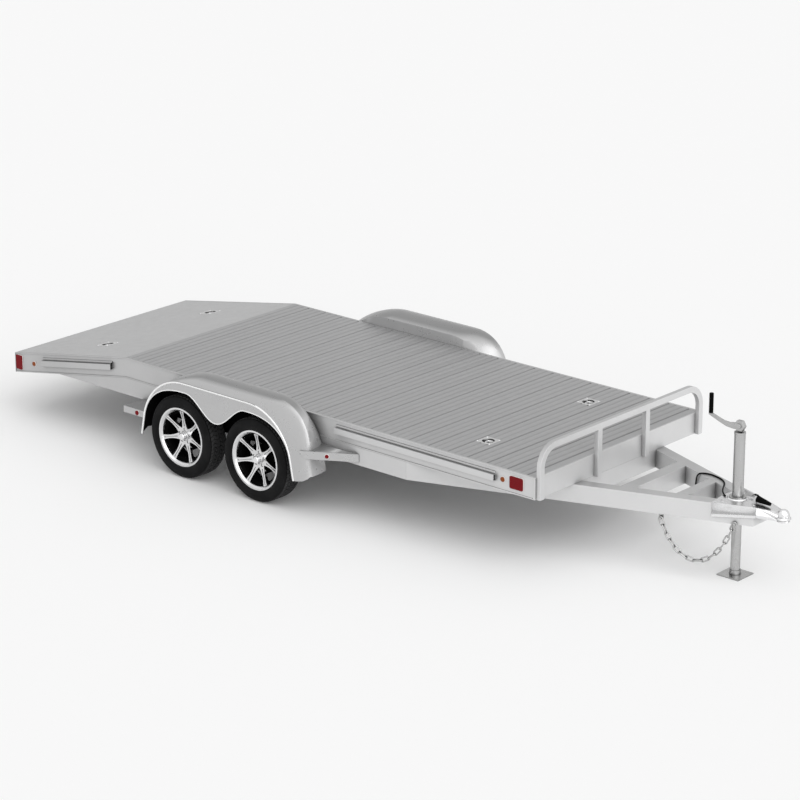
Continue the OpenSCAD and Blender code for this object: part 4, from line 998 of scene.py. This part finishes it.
@dataclass
class Wheels:
    """The axles and the four wheels, each with a carcass, tread blocks, an alloy rim and a hub."""

    workshop: Workshop
    rim_face: float = 95 * MM
    spoke_foot: float = 76 * MM
    spoke_tip: float = 225 * MM
    foot_depth: float = 50 * MM
    tip_depth: float = 16 * MM
    pocket_depth: float = 15 * MM
    tread_depth: float = 7 * MM
    tread_half: float = 80 * MM
    pitches: int = 62
    rows: int = 5
    row_gap: float = 5.5 * MM
    zigzag: float = 0.42
    block_half: float = 0.40
    block_root: float = 1.5 * MM
    block_edge: float = 1.0 * MM
    block_top: float = 0.3 * MM
    block_inset: float = 0.8 * MM
    shoulder_fall: float = 1.5 * MM
    valve_at: float = 196 * MM
    valve_depth: float = 58 * MM
    hub_margin: float = 2 * MM
    profile_steps: int = 5
    turn_steps: int = 120
    bead_line: Sequence[tuple[float, float]] = ((-20, 24), (0.6, 14), (7, 8), (20, 3), (33, 0.6), (47, 0.3))
    shoulder_line: Sequence[tuple[float, float]] = ((38, 2.2), (28, 5), (17, 11), (10, 17))

    def _shoulder(self, rim_r: float, half: float, radius: float) -> list[tuple[float, float]]:
        """The tyre's outline from the bead to the tread's middle, as radius and distance from the middle.

        Args:
            rim_r: the rim's outer radius.
            half: half the tyre's width.
            radius: the tyre's outer radius.

        Returns:
            The outline's points, rounded through its main places.
        """
        base = radius - self.tread_depth
        main = [(rim_r + rise * MM, half - back * MM) for rise, back in self.bead_line]
        main += [(radius - drop * MM, half - back * MM) for drop, back in self.shoulder_line]
        main += [(base, self.tread_half - 2 * MM), (base, 0.0)]
        places = [Vector(place) for place in main]
        steps = self.profile_steps
        first = [places[0].lerp(places[1], step / steps) for step in range(steps)]
        last = [places[-2].lerp(places[-1], step / steps) for step in range(steps)]
        bend = smooth_path(places, steps)[steps:-steps]
        return [tuple(point) for point in (*first, *bend, *last, places[-1])]

    def carcass(self, name: str, rim_r: float, half: float, centre: Vector,
                radius: float) -> bpy.types.Mesh:
        """Turns the tyre's body without its tread blocks.

        Args:
            name: the mesh's name.
            rim_r: the rim's outer radius.
            half: half the tyre's width.
            centre: the wheel's centre.
            radius: the tyre's outer radius.

        Returns:
            The closed mesh.
        """
        outer = self._shoulder(rim_r, half, radius)
        outline = outer + [(r, -y) for r, y in reversed(outer[:-1])]
        shape = bmesh.new()
        ring = [shape.verts.new((r, y, 0.0)) for r, y in outline]
        edges = [shape.edges.new((ring[i], ring[(i + 1) % len(ring)])) for i in range(len(ring))]
        bmesh.ops.spin(shape, geom=ring + edges, cent=(0, 0, 0), axis=(0, 1, 0), angle=2 * math.pi,
                       steps=self.turn_steps, use_merge=True)
        bmesh.ops.remove_doubles(shape, verts=shape.verts, dist=WELD_GAP)
        bmesh.ops.translate(shape, verts=shape.verts, vec=centre)
        mesh = solid_mesh(shape, name)
        smooth_by_angle(mesh, angle=35.0)
        return mesh

    def tread_pitch(self, name: str, radius: float) -> bpy.types.Mesh:
        """Cuts one pitch of the tread: a slanting block in every row, its zigzag turned from row to row.

        Args:
            name: the mesh's name.
            radius: the tyre's outer radius.

        Returns:
            The pitch's mesh around the wheel's axis, at the wheel's top.
        """
        pitch = 2 * math.pi / self.pitches
        row_w = 2 * self.tread_half / self.rows
        shape = bmesh.new()
        for row in range(self.rows):
            near = -self.tread_half + row * row_w + self.row_gap / 2
            far = near + row_w - self.row_gap
            slant = pitch * (self.zigzag if row % 2 else -self.zigzag)
            start = pitch * (0.5 if row % 2 else 0.0)
            half = pitch * self.block_half
            plan = [(start - half, near), (start + half, near), (start + half + slant, far),
                    (start - half + slant, far)]
            crown = self.shoulder_fall if row in (0, self.rows - 1) else 0.0
            levels = []
            for lift, inset in ((-self.tread_depth - self.block_root, 0.0), (-self.block_edge, 0.0),
                                (-self.block_top, self.block_inset)):
                level = []
                for angle, y in plan:
                    r = radius + lift - (crown if abs(y) > self.tread_half - row_w / 2 else 0.0)
                    mid_a = start + slant / 2
                    mid_y = (near + far) / 2
                    a = angle + math.copysign(inset / radius, mid_a - angle)
                    yy = y + math.copysign(inset, mid_y - y)
                    level.append(shape.verts.new((r * math.sin(a), yy, r * math.cos(a))))
                levels.append(level)
            skin(shape, levels)
        return solid_mesh(shape, name)

    def is_pocket(self, centre: Vector, face_y: float) -> Rule:
        """Makes the rule that picks the rim's pockets for painted shade: all that lies well behind its
        spokes.

        Args:
            centre: the wheel's centre.
            face_y: the distance of the rim's outer face from the trailer's middle.

        Returns:
            The rule.
        """
        def rule(place: Vector, normal: Vector) -> bool:
            """Tells whether a face lies in a pocket."""
            reach = math.hypot(place.x - centre.x, place.z - centre.z)
            along = max(0.0, min(1.0, (reach - self.spoke_foot) / (self.spoke_tip - self.spoke_foot)))
            front = self.foot_depth + (self.tip_depth - self.foot_depth) * along
            return face_y - abs(place.y) > front + self.pocket_depth and reach > self.spoke_foot

        return rule

    def build(self) -> None:
        """Dresses the axles and builds every wheel."""
        shop = self.workshop
        for end in End:
            shop.dress(f"axle_{end.word}", DARK_STEEL)
            for side in Side:
                self._wheel(end, side)

    def _wheel(self, end: End, side: Side) -> None:
        """Builds one wheel.

        Args:
            end: whether it is the front or the rear wheel.
            side: the wheel's side.
        """
        shop = self.workshop
        place = f"{end.word}_{side.word}"
        body = "wheel_" + place
        low, high = (Vector(corner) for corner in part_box("tyre_" + place))
        centre = (low + high) / 2
        radius = (high.z - low.z) / 2
        half = (high.y - low.y) / 2
        rim_low, rim_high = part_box("rim_" + place)
        rim_r = (rim_high[2] - rim_low[2]) / 2
        face_y = max(abs(rim_low[1]), abs(rim_high[1]))
        hub_y = face_y - self.rim_face
        # Painted shade: the rim's pockets behind the spokes are black.
        shop.refine("rim_" + place, body, ALLOY, width=0.0018,
                    coats=[(self.is_pocket(centre, face_y), PAINTED_SHADE)])
        # The hub's faces behind the rim's face take the same near-black.
        shop.refine("hub_" + place, body, BRIGHT, width=0.0012,
                    coats=[(lambda spot, _: abs(spot.y) < hub_y + self.hub_margin, PAINTED_SHADE)])
        mesh = self.carcass("tyre_" + place, rim_r, half, centre, radius)
        mesh.materials.append(shop.finishes.of(TYRE))
        tyre = new_object(f"tyre_{place}_carcass", mesh)
        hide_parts("tyre_" + place)
        shop.add(tyre, body, TYRE)
        tread = shop.repeat.grow(f"tyre_{place}_tread", self.tread_pitch("tread_" + place, radius),
                                 shop.finishes.of(TREAD), Count=self.pitches,
                                 Turn=(0.0, 2 * math.pi / self.pitches, 0.0), Place=tuple(centre))
        shop.add(tread, body, TREAD)
        seat = centre + Vector((0.0, 0.0, self.valve_at))
        seat.y = side.value * (hub_y + self.valve_depth)
        outward = Euler((math.radians(-90.0 * side.value), 0, 0))
        shop.fasten(f"valve_{place}", body, GRIP, [(tuple(seat), outward)], Sides=12, Head_radius=3.5 * MM,
                    Crown_radius=3 * MM, Head_height=16 * MM, Washer_radius=6 * MM, Washer_height=6 * MM)


@dataclass
class Tongue:
    """The coupler, the jack, the chain and the wiring lead."""

    workshop: Workshop
    middle_x: float = 997 * MM
    plate_top: float = 621 * MM
    lead_radius: float = 6 * MM
    lead_sides: int = 16
    lead_steps: int = 6
    lead_route: Sequence[Point] = (
        (3662, 258, 515), (3667, 254, 545), (3676, 248, 577), (3690, 243, 603), (3708, 246, 618.5),
        (3730, 262, 620.4), (3760, 275, 620.4), (3800, 277, 620.4), (3845, 268, 620.4), (3890, 254, 620.4),
        (3935, 230, 620.4), (3972, 196, 620.4), (4000, 155, 621), (4024, 112, 622.5), (4050, 68, 625.5),
        (4085, 18, 628.5), (4115, -14, 628), (4136, -32, 627.6), (4154, -44, 627.2))
    bolt_turn: float = 0.3
    bolt_places: Sequence[tuple[float, float]] = (
        (4187, -129), (4187, 129), (4172, -26), (4322, 8), (4330, 45), (4412, -46), (4412, 46))

    def lead(self) -> None:
        ends = [Vector((x * MM - self.middle_x, y * MM, z * MM)) for x, y, z in self.lead_route]
        path = smooth_path(ends, self.lead_steps) + [ends[-1]]
        shape = bmesh.new()
        rings = []
        side_way = Vector((0.0, 1.0, 0.0))
        for i, point in enumerate(path):
            way = (path[min(i + 1, len(path) - 1)] - path[max(i - 1, 0)]).normalized()
            side_way = (side_way - way * side_way.dot(way)).normalized()
            up = way.cross(side_way)
            turns = (k * 2 * math.pi / self.lead_sides for k in range(self.lead_sides))
            rings.append([shape.verts.new(
                point + self.lead_radius * (math.cos(a) * side_way + math.sin(a) * up)) for a in turns])
        skin(shape, rings)
        mesh = solid_mesh(shape, "wiring_lead_sheath")
        smooth_by_angle(mesh, angle=60.0)
        mesh.materials.append(self.workshop.finishes.of(GRIP))
        sheath = new_object("wiring_lead_sheath", mesh)
        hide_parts("wiring_lead")
        self.workshop.add(sheath, "chassis", GRIP)

    def build(self) -> None:
        """Dresses the coupler, the jack and the chain, and bolts the coupler down."""
        shop = self.workshop
        shop.refine("coupler", "chassis", BRIGHT, width=0.003, segments=3, angle=24.0)
        shop.refine("latch_lever", "coupler_latch", BRIGHT)
        shop.refine("latch_grip", "coupler_latch", GRIP, width=0.004, segments=3)
        shop.refine("jack_tube", "chassis", ZINC, width=0.002)
        shop.refine("jack_leg", "jack_leg", ZINC, width=0.002)
        shop.refine("jack_crank", "jack_crank", ZINC, width=0.003, segments=3)
        shop.refine("crank_grip", "jack_crank", GRIP, width=0.004, segments=3)
        shop.refine("safety_chain", "chassis", CHAIN_METAL, width=0.0002, segments=1)
        shop.refine("chain_anchors", "chassis", CHAIN_METAL, width=0.0008)
        bolts = [((x * MM - self.middle_x, y * MM, self.plate_top), Euler((0, 0, self.bolt_turn)))
                 for x, y in self.bolt_places]
        shop.fasten("coupler_bolts", "chassis", BRIGHT, bolts, Sides=6, Head_radius=12 * MM,
                    Crown_radius=11.2 * MM, Head_height=10 * MM, Washer_radius=15 * MM,
                    Washer_height=4 * MM)


@dataclass
class Lamps:
    """The red lamps and the amber markers, each lens in its gasket and the long ones ribbed."""

    workshop: Workshop
    gasket_r: float = 2.2 * MM
    gasket_lift: float = 0.6
    gasket_out: float = 0.7
    face_depth: float = 0.5 * MM
    rib_r: float = 1.1 * MM
    rib_rise: float = 0.3 * MM
    ribs: int = 6
    rib_margin: float = 26 * MM
    rib_border: float = 24 * MM
    long_lens: float = 60 * MM

    def _lenses(self, node: str) -> Iterable[tuple[list[Vector], Vector]]:
        """Finds each lens of a node and the way it faces, in the same order each run.

        Args:
            node: the node's name.

        Yields:
            Its corners and its outward direction.
        """
        shape = bmesh.new()
        shape.from_mesh(self.workshop.nodes[node].data)
        bmesh.ops.remove_doubles(shape, verts=shape.verts, dist=WELD_GAP)
        met = set()
        for first in shape.verts:
            if first in met:
                continue
            met.add(first)
            group = [first]
            for vert in group:
                for edge in vert.link_edges:
                    other = edge.other_vert(vert)
                    if other not in met:
                        met.add(other)
                        group.append(other)
            faces = dict.fromkeys(face for vert in group for face in vert.link_faces)
            centre = sum((vert.co for vert in group), Vector()) / len(group)
            wide = max(faces, key=lambda face: face.calc_area()).normal
            away = Vector((-1.0 if abs(wide.x) > 0.9 else 0.0, math.copysign(1.0, centre.y), 0.0))
            out = wide if wide.dot(away) > 0 else -wide
            yield [vert.co.copy() for vert in group], out.normalized()
        shape.free()

    def _surround(self, node: str) -> None:
        """Lays a gasket around every lens of a node.

        Args:
            node: the node's name.
        """
        mesh = bpy.data.meshes.new(node + "_gaskets")
        verts: list[Vector] = []
        edges: list[tuple[int, int]] = []
        for corners_of, out in self._lenses(node):
            seat = min(point.dot(out) for point in corners_of)
            base = [point for point in corners_of if point.dot(out) < seat + self.face_depth]
            centre = sum(base, Vector()) / len(base)
            up = (Vector((0.0, 0.0, 1.0)) - out * out.z).normalized()
            side_way = up.cross(out)
            loop = sorted(base, key=lambda p: math.atan2((p - centre).dot(up), (p - centre).dot(side_way)))
            first = len(verts)
            verts += [point + self.gasket_r * (out * self.gasket_lift
                                               + (point - centre).normalized() * self.gasket_out)
                      for point in loop]
            edges += [(first + i, first + (i + 1) % len(loop)) for i in range(len(loop))]
        mesh.from_pydata(verts, edges, [])
        shop = self.workshop
        shop.add(shop.bead.grow(node + "_gaskets", mesh, shop.finishes.of(GASKET), Radius=self.gasket_r),
                 "chassis", GASKET)

    def _rib(self, name: str, points: list[Vector], out: Vector) -> None:
        """Raises the ribs on one long lens.

        Args:
            name: the piece's name.
            points: the lens's corners.
            out: the way it faces.
        """
        face = max(point.dot(out) for point in points)
        front = [point for point in points if point.dot(out) > face - self.face_depth]
        centre = sum(front, Vector()) / len(front)
        axis = Vector((1.0, 0.0, 0.0)) if abs(out.x) < 0.5 else Vector((0.0, 1.0, 0.0))
        longest = max((one - two for one in front for two in front), key=lambda gap: abs(gap.dot(axis)))
        along = (axis - out * axis.dot(out)).normalized()
        width = abs(longest.dot(along)) - self.rib_margin
        up = out.cross(along)
        tall = max((p - centre).dot(up) for p in front) * 2 - self.rib_border
        step = -up * tall / (self.ribs - 1)
        shape = bmesh.new()
        made = bmesh.ops.create_cone(shape, cap_ends=True, segments=12, radius1=self.rib_r,
                                     radius2=self.rib_r, depth=width)
        turn = Matrix((along.cross(up), up, along)).transposed().to_4x4()
        bmesh.ops.transform(shape, matrix=turn, verts=made["verts"])
        mesh = solid_mesh(shape, name)
        smooth_by_angle(mesh, angle=40.0)
        shop = self.workshop
        shop.add(shop.repeat.grow(name, mesh, shop.finishes.of(RED_LENS), Count=self.ribs, Step=tuple(step),
                                  Place=tuple(centre + up * tall / 2 - out * (self.rib_r - self.rib_rise))),
                 "chassis", RED_LENS)

    def build(self) -> None:
        """Dresses the lenses, lays their gaskets and raises the ribs."""
        self.workshop.refine("red_lamps", "chassis", RED_LENS, width=0.002, segments=3)
        self.workshop.refine("amber_markers", "chassis", AMBER_LENS, width=0.003, segments=3)
        for node in ("red_lamps", "amber_markers"):
            self._surround(node)
        long_ones = [(points, out) for points, out in self._lenses("red_lamps")
                     if max((a - b).length for a in points for b in points) > self.long_lens]
        for number, (points, out) in enumerate(long_ones, 1):
            self._rib(f"red_lamp_ribs_{number}", points, out)


@dataclass
class TieDowns:
    """The floor's recessed pans with their corner screws, and their rings."""

    workshop: Workshop
    frame: Frame
    screw_reach: float = 60 * MM
    screw_lift: float = 0.4 * MM
    pan_half: float = 73 * MM
    places: Sequence[str] = ("front_right", "front_left", "tail_right", "tail_left")

    def build(self) -> None:
        """Dresses the pans and the rings, and screws the pans down."""
        shop = self.workshop
        shop.refine("tie_down_pans", "chassis", PAN_METAL, width=0.001)
        screws = []
        for place in self.places:
            shop.refine(f"ring_{place}", f"ring_{place}", BRIGHT, width=0.0005)
            low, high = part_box(f"ring_{place}")
            mid_y = (low[1] + high[1]) / 2
            mid_x = self._pan_middle(place)
            slope = math.atan2(self.frame.tail_drop, self.frame.tail_len) if "tail" in place else 0.0
            for fore in (-1, 1):
                for out in (-1, 1):
                    x = mid_x + fore * self.screw_reach * math.cos(slope)
                    z = self.frame.top_at(x) + self.screw_lift
                    screws.append(((x, mid_y + out * self.screw_reach, z), Euler((0.0, -slope, 0.0))))
        shop.fasten("pan_screws", "chassis", BRIGHT, screws, Sides=16, Head_radius=8.5 * MM,
                    Crown_radius=5 * MM, Head_height=3.5 * MM, Washer_radius=10 * MM,
                    Washer_height=1.2 * MM)

    def _pan_middle(self, place: str) -> float:
        """The X of a pan's middle, by the place that its ring's node spells."""
        low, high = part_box("tie_down_pans")
        return high[0] - self.pan_half if "front" in place else low[0] + self.pan_half


@dataclass(frozen=True)
class PhotoCamera:
    """The camera, where the photograph was taken from."""

    place: Point = (15.3282, -17.4338, 8.5410)
    azimuth: float = 41.593
    elevation: float = 18.733
    roll: float = -0.09
    focal_px: float = 2998.66
    picture_px: int = 800
    sensor: float = 36.0
    far_limit: float = 300.0

    def build(self) -> None:
        """Adds the camera and makes it the scene's."""
        data = bpy.data.cameras.new("photo_camera")
        data.sensor_width = self.sensor
        data.sensor_fit = "HORIZONTAL"
        data.lens = self.focal_px / self.picture_px * self.sensor
        data.clip_end = self.far_limit
        camera = new_object("photo_camera", data)
        turn = (Matrix.Rotation(math.radians(self.azimuth), 4, "Z")
                @ Matrix.Rotation(math.radians(90.0 - self.elevation), 4, "X")
                @ Matrix.Rotation(math.radians(self.roll), 4, "Z"))
        camera.matrix_world = Matrix.Translation(self.place) @ turn
        bpy.context.scene.camera = camera


@dataclass
class Studio:
    """A pale floor under an even pale sky, a wide soft lamp overhead and a low one ahead."""

    backdrop: float = 0.93
    sky_light: float = 0.62
    lamp_angle: float = 75.0
    lamps: Sequence[tuple[str, Point, float]] = (("overhead", (0.35, -0.35, 1.0), 0.62),
                                                 ("ahead", (1.0, -0.28, 0.55), 1.35))
    floor_size: float = 160.0
    floor_tone: float = 0.91
    floor_glow: float = 0.03

    def build(self) -> None:
        """Adds the world, the floor and the lamps."""
        self._world()
        self._floor()
        self._lamps()
        bpy.context.scene.view_settings.view_transform = "Standard"

    def _world(self) -> None:
        """Makes the world: the backdrop to the camera and in reflections, softer as a light."""
        world = bpy.data.worlds.new("studio")
        world.use_nodes = True
        tree = world.node_tree
        tree.nodes.clear()
        rays = tree.nodes.new("ShaderNodeLightPath")
        seen = tree.nodes.new("ShaderNodeBackground")
        seen.inputs[0].default_value = (self.backdrop, self.backdrop, self.backdrop, 1.0)
        lit = tree.nodes.new("ShaderNodeBackground")
        lit.inputs[0].default_value = (1.0, 1.0, 1.0, 1.0)
        lit.inputs[1].default_value = self.sky_light
        first = rays.outputs["Is Camera Ray"]
        for name in ("Is Glossy Ray", "Is Transmission Ray"):
            either = tree.nodes.new("ShaderNodeMath")
            either.operation = "MAXIMUM"
            tree.links.new(first, either.inputs[0])
            tree.links.new(rays.outputs[name], either.inputs[1])
            first = either.outputs[0]
        mix = tree.nodes.new("ShaderNodeMixShader")
        out = tree.nodes.new("ShaderNodeOutputWorld")
        tree.links.new(first, mix.inputs[0])
        tree.links.new(lit.outputs[0], mix.inputs[1])
        tree.links.new(seen.outputs[0], mix.inputs[2])
        tree.links.new(mix.outputs[0], out.inputs[0])
        bpy.context.scene.world = world

    def _floor(self) -> None:
        """Lays the pale floor."""
        mesh = bpy.data.meshes.new("floor")
        half = self.floor_size / 2
        mesh.from_pydata([(-half, -half, 0), (half, -half, 0), (half, half, 0), (-half, half, 0)], [],
                         [(0, 1, 2, 3)])
        floor = new_object("floor", mesh)
        shader = Shader("floor")
        tone = self.floor_tone
        surface = shader.principled((tone, tone, tone), 1.0, 0.0)
        surface.inputs["Specular IOR Level"].default_value = 0.0
        surface.inputs["Emission Color"].default_value = (1.0, 1.0, 1.0, 1.0)
        surface.inputs["Emission Strength"].default_value = self.floor_glow
        mesh.materials.append(shader.material)

    def _lamps(self) -> None:
        """Hangs the lamps, all of them wide and far away."""
        for name, way, strength in self.lamps:
            lamp = bpy.data.lights.new(name, "SUN")
            lamp.energy = strength
            lamp.angle = math.radians(self.lamp_angle)
            lamp_object = new_object(name, lamp)
            lamp_object.rotation_euler = (-Vector(way)).to_track_quat("-Z", "Y").to_euler()


def main() -> None:
    """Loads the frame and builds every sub-assembly in order."""
    logging.basicConfig(level=logging.INFO, format="%(name)s: %(message)s", stream=sys.stdout)
    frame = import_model()
    PhotoCamera().build()
    Studio().build()
    workshop = Workshop(frame["nodes"])
    tongue = Tongue(workshop)
    tongue.lead()
    chassis = Frame(workshop)
    for assembly in (chassis, Fenders(workshop), Wheels(workshop), tongue, Lamps(workshop),
                     TieDowns(workshop, chassis)):
        assembly.build()
        LOG.info("%s built", type(assembly).__name__)
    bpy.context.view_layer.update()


if __name__ == "__main__":
    main()
